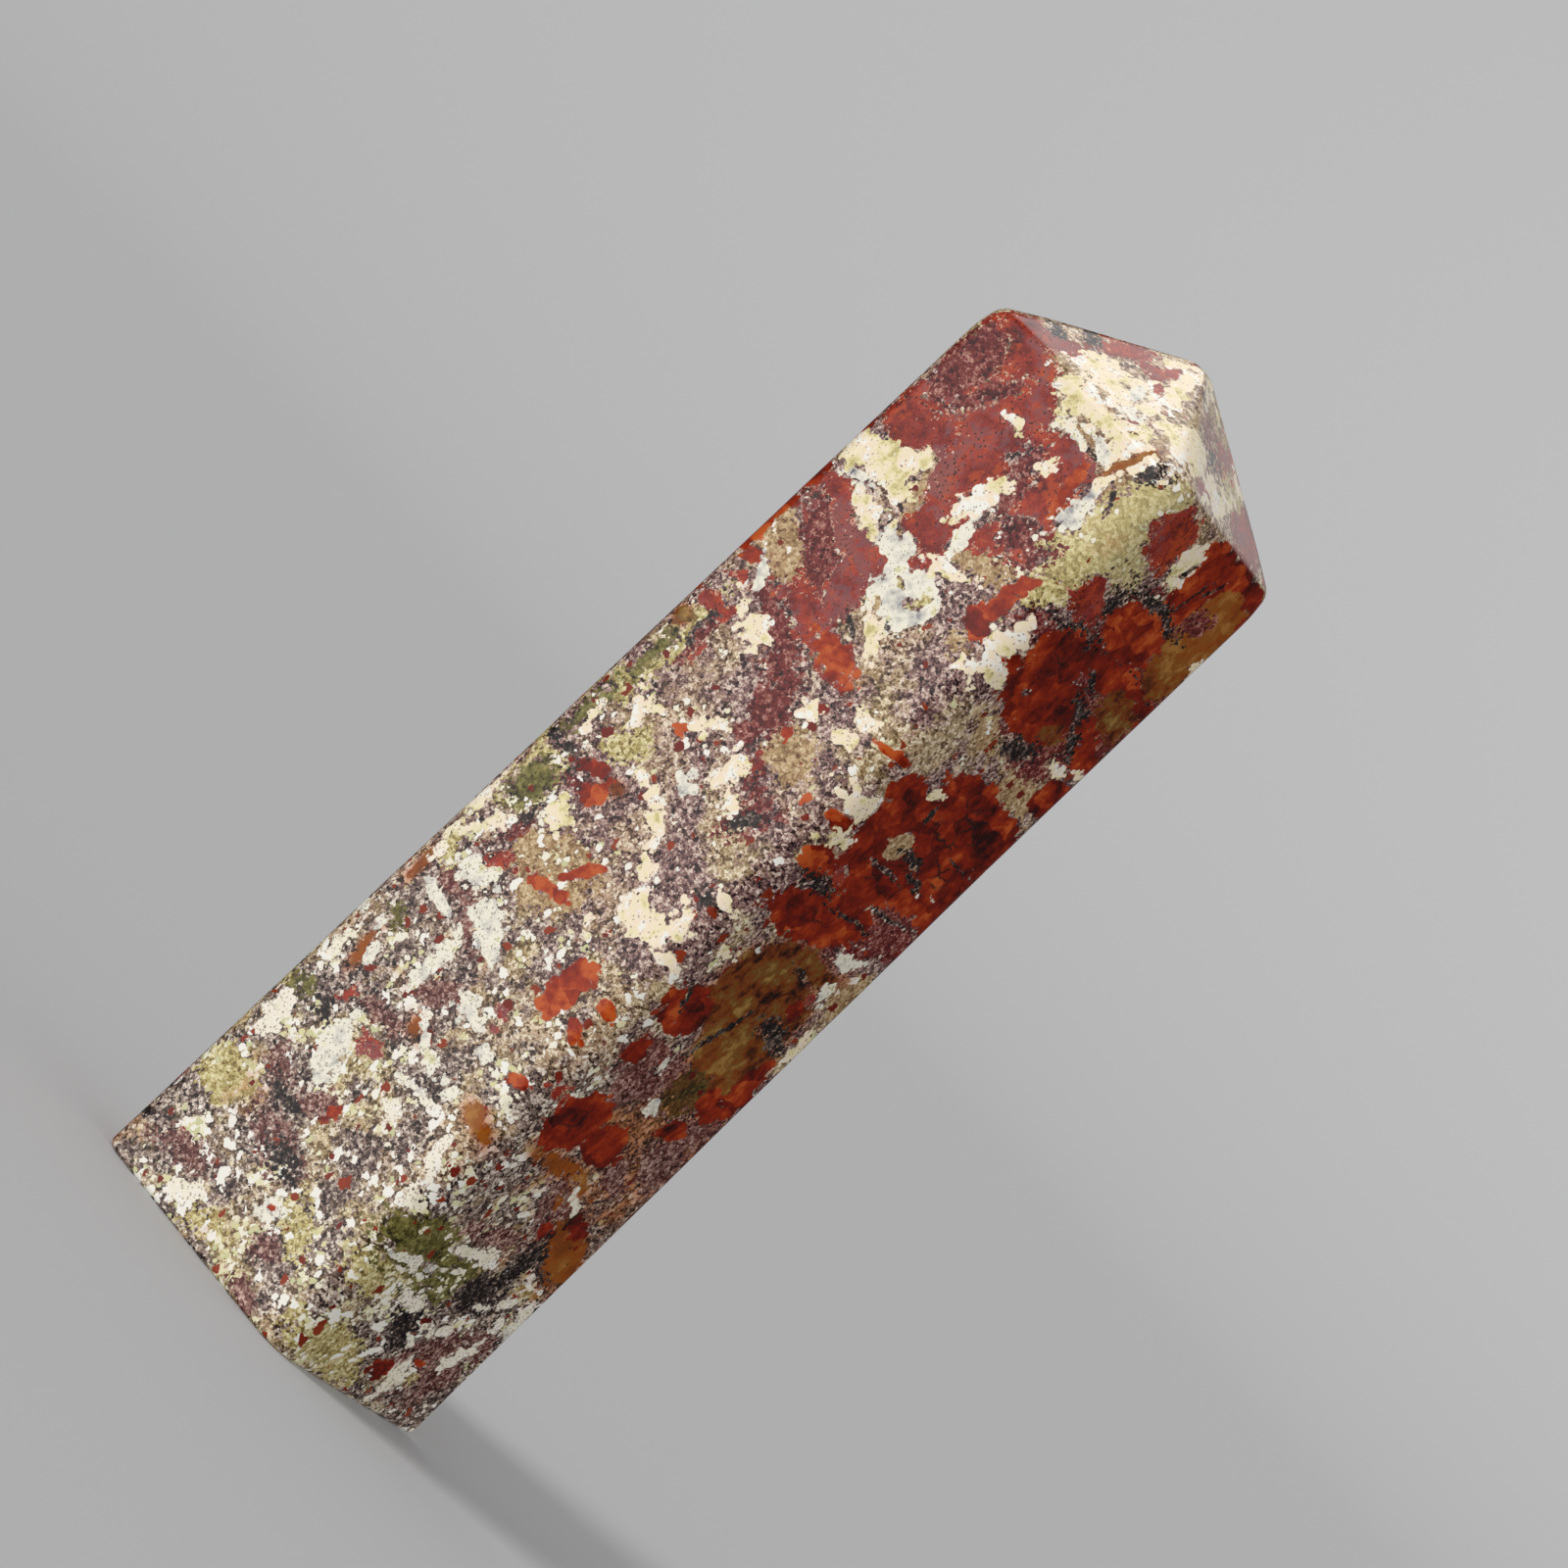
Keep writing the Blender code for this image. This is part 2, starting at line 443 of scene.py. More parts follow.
LEFT_FACE = placed(
    (BRICK, (-7.5, 82, 3.6, 2.6), (-3, 87, 4, 3.4, 60), (-6.5, 90.6, 4.2, 1.5)),
    (MAROON, (-8.6, 87.4, 4, 2.3, 90), (-5.5, 86, 3.4, 1, 60)),
    (BRICK, (4, 86.6, 3.4, 2.2, -20), (5, 83.6, 2.6, 1.7, 90)),
    (FIRE, (5.3, 85.6, 2, 0.5, 108)),
    (BRICK, (-1.5, 81.2, 3.4, 2.7, 110), (-0.6, 77.2, 3.4, 1.9, -55), (4.2, 78.2, 2.8, 1.6, 35)),
    (MAROON, (2, 84, 4.2, 1, -65), (5.4, 80.4, 2, 1.5, 40)),
    (CREAM, (0.6, 80.8, 2.8, 1.1, 74)),
    (WHITE, (1.9, 77, 2.4, 0.6, -78)),
    (CREAM, (-8, 77.2, 4.2, 2.1), (-5.6, 79.4, 2, 0.9, 50)),
    (WHITE, (-6, 75.2, 3.2, 1, -5)),
    (CREAM, (-3.6, 74.4, 3.4, 1.2, -10)),
    (WHITE, (-0.6, 73.2, 3.2, 1.6, -30)),
    (CREAM, (3.3, 75.4, 2.4, 1, 20)),
    (TAN, (-3.2, 77.4, 2.4, 0.5, -60)),
    (CREAM, (-2, 86.4, 0.9, 0.5), (2.5, 85.5, 0.9, 0.5, 80)),
    (BRICK, (1.7, 73.7, 1.6, 0.5, -80), (0.6, 73.8, 0.6, 0.4)),
    (WHITE, (2.3, 71, 3.1, 2.4, 80), (0.2, 70.3, 2.6, 0.9, -50)),
    (CREAM, (2.9, 67.6, 2.2, 0.9, -30)),
    (OLIVE, (3.2, 71.9, 1, 0.5, 60), (1, 71.6, 0.6, 0.4)),
    (TAN, (0.9, 69.6, 0.9, 0.3, -40)),
    (SMOKE, (0.7, 67.2, 2, 0.18, -32), (-1.2, 69, 1, 0.2, -55), (3.2, 69, 0.9, 0.4)),
    (BRICK, (-7.5, 72.6, 3.2, 1.8, -35)),
    (MAROON, (-6.4, 70.2, 4.2, 1.4, -35)),
    (BRICK, (-3.2, 71.7, 2.5, 1.6, -10), (-2.3, 68.8, 2.9, 1.6, -60)),
    (MAROON, (-4.6, 67.2, 4, 1.7, -60)),
    (BRICK, (-1.5, 65.4, 5.2, 1.4, -10)),
    (FIRE, (1.6, 65, 2.4, 0.8, -10)),
    (MAROON, (-3.5, 63.2, 3.8, 1.1, -25)),
    (TAN, (-7.8, 67.6, 3.2, 1.8, -30)),
    (FIRE, (-9.3, 65.6, 0.9, 0.6)),
    (BRICK, (-8.2, 64, 1.1, 0.5, 20)),
    (WHITE, (-7.5, 65.2, 1.7, 0.5, -45)),
    (CREAM, (-4.5, 61.7, 2.4, 0.8, -20)),
    (TAN, (-1.8, 61.2, 1.4, 0.6)),
    (CREAM, (2, 90.7, 4.6, 1.6, -10), (5.6, 91, 4.2, 1.4)),
    (WHITE, (3.5, 89.4, 3.4, 1, -6)),
    (TAN, (2.6, 89.6, 1.5, 0.3, -20)),
    (SMOKE, (4.4, 88.7, 1, 0.2, -10)),
    (WHITE, (7.3, 85.6, 3.9, 1, 88)),
    (CREAM, (7.2, 89, 1.8, 0.7, 80)),
    (TAN, (9, 88.2, 2.6, 1.2, 80)),
    (SMOKE, (9.4, 90.6, 1.2, 0.7, 40)),
    (AMBER, (7.1, 89.6, 1.8, 0.3, 70)),
    (OLIVE, (10.4, 84, 7, 2.2, 86), (8.2, 81.8, 2, 1.2, 60)),
    (SMOKE, (9.1, 86.8, 1.5, 0.2, -62)),
    (MAROON, (7.6, 80, 1.4, 0.8, 60)),
    (FIRE, (9.1, 77.2, 1.7, 0.75, 88), (8.6, 74.4, 1.6, 1.2)),
    (CREAM, (11.2, 74.8, 2.6, 0.9, 75), (9.6, 71.4, 1.8, 0.7, -20)),
    (TAN, (8.3, 72.3, 1, 0.8, 90), (5.4, 77.4, 3.6, 1, 30)),
    (CREAM, (8, 63.7, 1.2, 0.85), (7.7, 61.2, 1.5, 0.95, 30), (3.8, 61.2, 1.3, 1, 80)),
    (FIRE, (4.4, 61.8, 0.4, 0.35)),
    (MAROON, (1.2, 58.6, 3.6, 1.5, -72), (-0.6, 61.5, 2.4, 1)),
    (TAN, (5.3, 57.4, 2.6, 1.8)),
    (FIRE, (3.8, 58.4, 0.6, 0.3, -60)),
    (BRICK, (4.3, 55.2, 1, 0.5, -30)),
    (MAROON, (5, 54, 1.3, 0.8, -50)),
    (FIRE, (8.9, 56.1, 0.4, 0.3, 40)),
    (CREAM, (3, 53.6, 1.7, 1.1, 90), (5.3, 51.7, 1.5, 0.6, -40)),
    (MAROON, (7.2, 52.2, 1.9, 1.1, 65)),
    (SMOKE, (7.2, 51.9, 1.1, 0.5, 65)),
    (WHITE, (1.9, 50.7, 1.5, 0.8, -20)),
    (CREAM, (-0.2, 48.3, 2.6, 0.7, -4), (2.6, 46.2, 2.8, 0.7, -50), (4.6, 43.4, 2, 0.8, -50),
     (7, 41, 3, 1.3, -4), (9.3, 43.2, 2, 0.9, 100), (10.4, 40.6, 1.7, 0.8, -14)),
    (SMOKE, (9.6, 46.2, 1, 0.7)),
    (FIRE, (9.2, 45.5, 0.4, 0.3)),
    (CREAM, (10.8, 46.8, 0.8, 0.6)),
    (TAN, (-1.2, 38.8, 3.9, 3.1)),
    (FIRE, (0.6, 40.2, 1.3, 0.4, 62), (-0.2, 37.7, 1.6, 0.45, 8), (6.8, 33.6, 1.9, 1.1, 90),
     (6.9, 32.7, 1.4, 1.1, 90), (10.1, 34.6, 0.6, 0.4), (9.4, 32, 0.8, 0.5, -30)),
    (CREAM, (4.7, 37.3, 0.8, 0.5, -60)),
    (OLIVE, (-8.4, 57.5, 4, 1.3, 90)),
    (MOSS, (-9, 55.6, 2.4, 0.6, 90)),
    (SMOKE, (-7.6, 59, 1.6, 0.4, 100)),
    (MAROON, (-7, 58.4, 1.8, 0.5, 95)),
    (BRICK, (-8.2, 61, 1.7, 0.7)),
    (AMBER, (-9.7, 58.6, 0.6, 0.5)),
    (BRICK, (-6, 57.6, 0.7, 0.35, 90)),
    (OLIVE, (-9.3, 51.9, 1.2, 1.1), (-5.1, 49.2, 1.7, 1.5, 60)),
    (MOSS, (-9.8, 48.6, 2.4, 0.6, 92)),
    (CREAM, (-8.5, 47.8, 1.4, 0.5, -60)),
    (SMOKE, (-6.4, 41.4, 3.4, 0.5, 96)),
    (MAROON, (-5.8, 44.2, 1.6, 0.6, 20)),
    (SMOKE, (-9.4, 45.8, 1.4, 0.5)),
    (OLIVE, (-8.4, 42.4, 3, 2.2, 90)),
    (MOSS, (-8.4, 42, 2.2, 1.5, 90)),
    (FIRE, (-5.7, 46, 1.4, 0.5, 20), (-4, 44.8, 0.9, 0.8)),
    (AMBER, (-3, 46.3, 0.8, 0.4, 10)),
    (CREAM, (-6.8, 51.6, 1.5, 0.6, -60), (-5.8, 52.6, 1, 0.6), (-1.4, 54.4, 1.7, 0.9, 20),
     (-4.6, 41.9, 1.7, 1, -30)),
    (FIRE, (-2.9, 53.1, 0.6, 0.55), (-0.9, 53.1, 0.3, 0.25)),
    (CREAM, (-9.9, 36.8, 4.2, 0.7, 98), (-7.8, 38, 1.8, 0.8, 60)),
    (MAROON, (-6, 38.4, 1.8, 0.5, 80)),
    (OLIVE, (-8.6, 34.6, 2, 0.5, 120)),
    (WHITE, (-5.6, 34.8, 1.9, 1.3, 20)),
    (BRICK, (-5, 36.2, 1.2, 0.5, 30)),
    (MAROON, (-4.2, 32.6, 1.3, 1.1), (-6.4, 32.6, 1.4, 0.6)),
    (WHITE, (-1.8, 32.3, 2.8, 1.1, -40), (-6.8, 31, 2, 0.6, -15)),
    (AMBER, (-9.6, 31.6, 1.3, 0.4, 90)),
    (MAROON, (-2.5, 30.4, 1.7, 0.8, -20)),
    (WHITE, (-3.2, 28.2, 2.3, 0.8, 102)),
    (MOSS, (-7.6, 27.7, 0.9, 0.7)),
    (WHITE, (-7.4, 24.8, 2.4, 0.5, 105)),
    (AMBER, (-7.6, 24, 1.4, 0.3, 100)),
    (CREAM, (-9.4, 23, 1.6, 0.7, 95)),
    (WHITE, (2.8, 27.5, 2.2, 0.8, -20), (6.2, 26.3, 0.9, 0.5, -30)),
    (MAROON, (-0.3, 26.7, 1.9, 1.1, 20)),
    (CREAM, (0.3, 24.9, 1.1, 0.6, 20)),
    (AMBER, (0.7, 23.6, 0.8, 0.7)),
    (WHITE, (2.5, 23, 1.9, 0.8, -45)),
    (MAROON, (-3, 21.6, 2.2, 0.8, 15)),
    (WHITE, (6.2, 22, 0.95, 0.85)),
    (CREAM, (6.8, 20.3, 2.3, 0.6, 18)),
    (WHITE, (3.6, 20.2, 1.4, 0.4, 6)),
    (CREAM, (10.4, 24.2, 1.1, 0.6)),
    (AMBER, (10, 22.2, 1.1, 0.5, -10)),
    (BRICK, (4.6, 29.3, 0.5, 0.5), (5.2, 28, 0.7, 0.4), (-1.5, 19.6, 0.7, 0.5, 30),
     (-5.7, 20.3, 0.8, 0.4, 40)),
    (FIRE, (9.9, 26.3, 0.65, 0.5)),
    (BRICK, (11.8, 28, 0.8, 0.6)),
    (CREAM, (10, 18, 1.2, 0.5, 110), (10.5, 15.4, 1.2, 0.5, 90), (3.6, 17.6, 1.4, 0.8, 110),
     (-8.9, 16.4, 1.8, 1.3, 90)),
    (SMOKE, (-6.6, 19.2, 1.4, 0.5, -30)),
    (MOSS, (-9, 19, 1, 0.8)),
    (WHITE, (-3, 17.2, 2.8, 1.3, -60)),
    (MAROON, (-0.8, 13.8, 1.9, 1.1, 20)),
    (FIRE, (0.9, 14.3, 0.7, 0.65)),
    (MAROON, (-5.2, 13.8, 1.7, 0.8, -40)),
    (SMOKE, (-3.2, 12.6, 1.8, 0.5, -20)),
    (OLIVE, (-8.2, 10.4, 3, 2.2)),
    (MAROON, (-1, 9.8, 3.2, 1.2, -20)),
    (SMOKE, (0.6, 9.2, 1.6, 0.6, -20)),
    (OLIVE, (5.4, 7, 3, 1.2, -30)),
    (WHITE, (2.9, 6.5, 1, 0.9)),
    (FIRE, (2.9, 6.5, 0.4, 0.4)),
    (MAROON, (5.3, 4.4, 1.3, 1.2, -50), (7, 1, 1.4, 0.8), (-6, 4, 2.6, 0.9, 15)),
    (CREAM, (-3, 2.4, 1.8, 0.9, -10)),
    (OLIVE, (0.5, 2, 2, 0.9, 10)),
    (BRICK, (-3.1, 96.4, 2.2, 1.2, 70), (-4.4, 93.4, 2.6, 1.4, 50), (-7.4, 92.2, 1.8, 1.2, 30)),
    (CREAM, (0.4, 94, 4.2, 2, 0, 3), (4, 93.6, 5.2, 1.8, -10, 3), (2.2, 96.6, 3, 1.4, -40, 3),
     (0.4, 98.6, 1.6, 1.2, 0, 3)),
    (BRICK, (0, 98, 1, 0.45, 90), (0.2, 97, 1.3, 0.5, -10), (1.4, 96.3, 1.5, 0.4, -35)),
    (SMOKE, (-5, 95.3, 0.9, 0.35, -30), (-6.3, 93.8, 0.7, 0.4)),
    (WHITE, (3.6, 93.2, 1.2, 0.8), (1.4, 94.6, 1.2, 0.6, -50)),
    (TAN, (7.2, 92.7, 1.5, 0.6, -45)),
)

RIGHT_FACE = placed(
    (MOSS, (-6.2, 12.4, 8, 3.4)),
    (OLIVE, (-7.6, 2.4, 5, 2)),
    (SMOKE, (3.4, 12.2, 2.9, 1.7), (-1, 7, 2.6, 1.4, -30), (6.4, 18, 3.4, 1.2, -20)),
    (MAROON, (5.6, 5.4, 4.4, 3.2, 20), (-2.4, 16.4, 3.6, 0.9), (8.4, 28.4, 3.6, 1.6, -20),
     (4.8, 25.6, 2.6, 1.2, -20), (2.6, 20.4, 4.6, 2, -30), (-3, 33.6, 6.2, 2.4),
     (8.4, 32.6, 3, 1.8, 60)),
    (AMBER, (-0.6, 43.6, 5.4, 4.6), (3, 38.6, 5.4, 3.6, -30)),
    (MAROON, (2, 56, 9, 7)),
    (FIRE, (1.5, 57.4, 9.4, 6.6)),
    (MAROON, (2, 78, 10, 9), (8.6, 8.6, 3, 1.6, 40)),
    (OLIVE, (-10.8, 87.6, 5.2, 2.2, 90), (-9.2, 84.3, 4.2, 1.2, 8)),
    (FIRE, (1, 88.2, 4.2, 3.6), (6, 91, 4.6, 1.2)),
    (BRICK, (-6.9, 88.4, 3, 2.3, -12)),
    (AMBER, (7, 86.4, 4, 4.6)),
    (MAROON, (5, 86.2, 1.8, 0.9, 20)),
    (CREAM, (-2.6, 88.2, 2.3, 1.1, 97)),
    (SMOKE, (-1.9, 88, 1, 0.25, 85)),
    (FIRE, (-0.4, 82, 4.9, 2.4)),
    (AMBER, (7.2, 82, 3.8, 2.2)),
    (SMOKE, (-0.8, 84.7, 5, 0.45), (0.6, 79.7, 6, 0.2), (1.4, 87, 1.6, 0.16, 70),
     (3, 88.6, 1.8, 0.16, 62), (-6.2, 82, 2.6, 0.9, 65)),
    (BRICK, (-8.4, 80.8, 2.5, 1.7, -10)),
    (FIRE, (3, 78.7, 8, 1.5)),
    (SMOKE, (-7.6, 78.4, 3.4, 0.45, 8)),
    (MAROON, (-10.6, 77, 1.8, 1.2)),
    (FIRE, (-5.8, 76.4, 3.6, 2.6), (-0.8, 73.6, 3.8, 2.8)),
    (AMBER, (6.6, 76.8, 4, 2.1)),
    (SMOKE, (2.6, 75, 1.8, 0.6, -20), (0.2, 77.2, 1, 0.3, -20), (4.8, 73.4, 1.8, 0.5, -30)),
    (FIRE, (5.4, 74.4, 1.7, 0.7, -10), (8.2, 72.8, 2.2, 1.3)),
    (AMBER, (1.8, 72.6, 2.4, 1)),
    (SMOKE, (-0.2, 70.2, 2.2, 0.8, 10)),
    (CREAM, (-10.4, 72.5, 1.9, 0.9, -15), (6.5, 71, 1.7, 0.6, -5), (9.4, 72, 0.9, 0.4, 20)),
    (FIRE, (-10, 74, 2.2, 0.5), (-6.4, 72.7, 3.4, 0.9, -15)),
    (TAN, (-5, 69.4, 3.2, 1.5, -20)),
    (CREAM, (-6, 70.3, 1.8, 0.35, -25)),
    (TAN, (5, 67.6, 3.6, 1.7)),
    (FIRE, (9, 69, 2.2, 1.5), (3.4, 64, 7.4, 2.8, -4), (0.5, 64.6, 3, 1.4, -20),
     (4.4, 60, 6.8, 2.6), (-6.4, 61.4, 2.7, 1.6, 10), (-11, 63, 1.5, 0.35)),
    (CREAM, (-3.9, 63.4, 1.1, 0.6)),
    (FIRE, (-6, 58.2, 3.2, 2.4, 90), (4.2, 55.4, 7, 4.6)),
    (MAROON, (6, 53, 5, 2.4)),
    (FIRE, (-2.6, 51, 6.8, 2.4, 10), (6.4, 57.8, 3.4, 1.2, 10)),
    (TAN, (-2.2, 58.5, 2.1, 1.4)),
    (CREAM, (-10.2, 58.3, 1.7, 1.2), (-9.5, 55.4, 2, 0.8, 5)),
    (FIRE, (-10.3, 56.8, 1.2, 0.5), (-8.5, 53.6, 1.9, 1.3)),
    (SMOKE, (-6.6, 52.4, 2.2, 0.7, 12)),
    (BRICK, (-5.2, 54, 1.3, 0.8)),
    (SMOKE, (0.9, 58.1, 1.7, 0.45, -8), (6, 60.6, 2.6, 0.2, 4), (3.4, 57, 2.2, 0.22, -6),
     (5.2, 54, 3.2, 0.2, 3), (-2.2, 61.8, 0.9, 0.3, 100), (-1, 56.4, 2.8, 0.2, -4),
     (1, 52, 4.2, 0.2, 4)),
    (WHITE, (5.3, 49.5, 1.6, 0.6, -18), (7.4, 49.9, 0.8, 0.4, 20), (0.7, 48.3, 0.6, 0.3),
     (8.1, 57.4, 0.5, 0.4), (6.9, 46.4, 1.6, 0.95, -10)),
    (TAN, (9.6, 47.4, 2.2, 1.7, 90)),
    (AMBER, (2, 47.6, 3.4, 1)),
    (SMOKE, (1.6, 46.6, 1.4, 0.4, -8)),
    (AMBER, (2.4, 43, 5, 2.7, 5)),
    (SMOKE, (5.8, 41.8, 2.4, 0.8), (0, 40, 2.6, 0.3, 70)),
    (AMBER, (5.8, 39.2, 3.2, 1.8), (2.8, 37, 2, 1.2, -30)),
    (FIRE, (5.3, 44.2, 1, 0.7)),
    (BRICK, (5.9, 45.4, 0.7, 0.4)),
    (MOSS, (2.4, 34, 3, 2.4)),
    (FIRE, (9.2, 37.4, 2.9, 1.3, 100), (6.8, 34.8, 1.8, 1.2, -30), (5.6, 31.3, 1.4, 0.95),
     (-6.6, 38.8, 3.2, 2.1), (-4.6, 38.4, 1.5, 1, 20)),
    (SMOKE, (-7.9, 39.7, 1.2, 0.4, -50)),
    (CREAM, (-7.5, 43.9, 1.3, 0.5)),
    (WHITE, (-4.9, 46.4, 0.7, 0.5), (-2.6, 34.6, 0.8, 0.5, 90)),
    (AMBER, (-4.4, 40.8, 1.6, 0.5, -15)),
    (FIRE, (-7.2, 33.8, 1.35, 1.05)),
    (WHITE, (0.4, 31.3, 1, 0.7)),
    (MAROON, (-4, 31.6, 2.2, 1.5)),
    (CREAM, (9.8, 42, 1.6, 0.8, 100)),
    (FIRE, (-5.5, 27.6, 3.4, 2.6, 30), (0.2, 26.8, 2.6, 1.6)),
    (AMBER, (-1, 23.8, 4.2, 0.9, -8), (1.2, 21.6, 1.2, 0.6)),
    (CREAM, (3.2, 22, 1.9, 0.4, -35)),
    (AMBER, (7.6, 18.8, 4.6, 1.6, -20)),
    (FIRE, (6.4, 20.6, 2, 0.7, -20), (3.6, 18.8, 1.2, 0.9, -40)),
    (SMOKE, (4.6, 16, 3, 1.1, 95), (2.2, 12.6, 2.2, 1.2, 20)),
    (CREAM, (-1.8, 14.7, 4, 0.5, 2)),
    (MOSS, (-7.4, 13.2, 6.4, 1.2)),
    (OLIVE, (-7.8, 9.8, 4.6, 1)),
    (WHITE, (-8, 11.6, 4.8, 0.3, 3), (-6.2, 12.3, 3.4, 0.2, 9), (-5.4, 11, 2.8, 0.2, -9),
     (-9.4, 10.8, 2.2, 0.2, -6), (-1.8, 13.2, 0.8, 0.3, 5)),
    (CREAM, (7.4, 12.7, 2.2, 0.5, 18), (10.2, 13.2, 0.9, 0.6), (8.8, 10.8, 0.9, 0.6, -30),
     (-3.2, 8.4, 2, 0.7, -10)),
    (OLIVE, (-8.4, 8.4, 3.2, 1.2)),
    (CREAM, (8, 7.5, 1.5, 0.8, 60), (3, 3.2, 1.8, 0.8, 80), (4.3, 3.7, 0.8, 0.4, 20),
     (4.2, 2.5, 0.6, 0.3, -40), (3, 7.8, 2, 0.6, 20)),
    (WHITE, (0.9, 6.6, 1, 0.4, -30)),
    (FIRE, (1, 3, 1.1, 0.8), (4.3, 4.9, 0.7, 0.4), (0.7, 8.3, 0.6, 0.35)),
    (OLIVE, (-3.6, 1.4, 2.6, 0.9), (5.2, 3.4, 1.1, 0.9)),
    (MAROON, (8.4, 4.2, 2.6, 1.4, 60)),
    (OLIVE, (8.4, 14.6, 1.7, 0.6)),
    (CREAM, (8.2, 15.4, 2, 0.3, -4), (-7, 94.6, 4.4, 1.8, 30, 3), (-4, 93.4, 3.6, 1.2, 15, 3),
     (0.4, 98.4, 2, 1, 0, 3)),
    (TAN, (-1, 97.6, 2.6, 0.8, 12)),
    (MAROON, (-2.8, 96.6, 2, 0.6, 12)),
    (SMOKE, (-1.8, 95.4, 1.6, 0.3, 16)),
    (TAN, (1.8, 96.6, 3.2, 1.2, 15, 3)),
    (BRICK, (1, 96.2, 2.6, 0.4, 15)),
    (OLIVE, (2.8, 95, 4.4, 1, 18, 3)),
    (CREAM, (1, 94.3, 2.6, 0.5, 24), (4.8, 95.8, 1.2, 0.5, -20)),
    (TAN, (3.6, 97.4, 2.8, 0.8, -36), (1.6, 98.6, 1.6, 0.7, -36)),
    (BRICK, (4.6, 93.3, 4, 1.2, 12, 3), (-6.5, 92.8, 1.8, 0.4, 25)),
)


@dataclass(frozen=True)
class HiddenFaces:
    """Markings of the two far faces and the base, which the photograph doesn't show.

    They repeat the mixture of the shown faces: reds and pale patches high up, a sandy middle
    and many pale lumps low down. Each body is a cluster of lobes drawn from a seeded generator.
    """

    seed: int = 11
    bodies_each: int = 120
    largest: int = 60
    smoke_slimness: float = 0.35
    lobes: int = 3
    large_from: float = 45.0
    large_high: float = 4.8
    large_low: float = 3.0

    def patches(self, offset: int) -> list[Patch]:
        """Draw one face's patches.

        Args:
            offset: Number of the face, so that each has its own draw.

        Returns:
            The patches, those of the large bodies first.
        """
        draw = np.random.default_rng(self.seed + offset)
        high = (BRICK, CREAM, BRICK, MAROON, OLIVE, WHITE, FIRE, AMBER, TAN, SMOKE, FIRE)
        low = (CREAM, MAROON, WHITE, BRICK, OLIVE, AMBER, MOSS, WHITE, SMOKE, FIRE, TAN, CREAM)
        drawn = []
        for number in range(self.bodies_each):
            height = float(draw.uniform(1.0, 97.0))
            across = float(draw.uniform(-11.0, 11.0))
            choice = high if draw.uniform(25.0, 70.0) < height else low
            mineral = choice[int(draw.integers(len(choice)))]
            size = float(draw.uniform(0.5, 1.0))
            large = number < self.largest
            if large:
                size *= self.large_high if height > self.large_from else self.large_low
            tilt = float(draw.uniform(-40.0, 40.0)) + (60.0 if draw.random() < 0.3 else 0.0)
            for _ in range(self.lobes if large else 1):
                slimness = float(draw.uniform(0.35, 0.75))
                if mineral is SMOKE:
                    slimness *= self.smoke_slimness
                off_across, off_height = draw.uniform(-0.9, 0.9, 2) * size * (1.0 if large else 0.0)
                long = size * float(draw.uniform(0.6, 1.1))
                spot = (across + float(off_across), height + float(off_height))
                drawn.append(Patch(mineral, *spot, long, long * slimness, tilt))
        return drawn


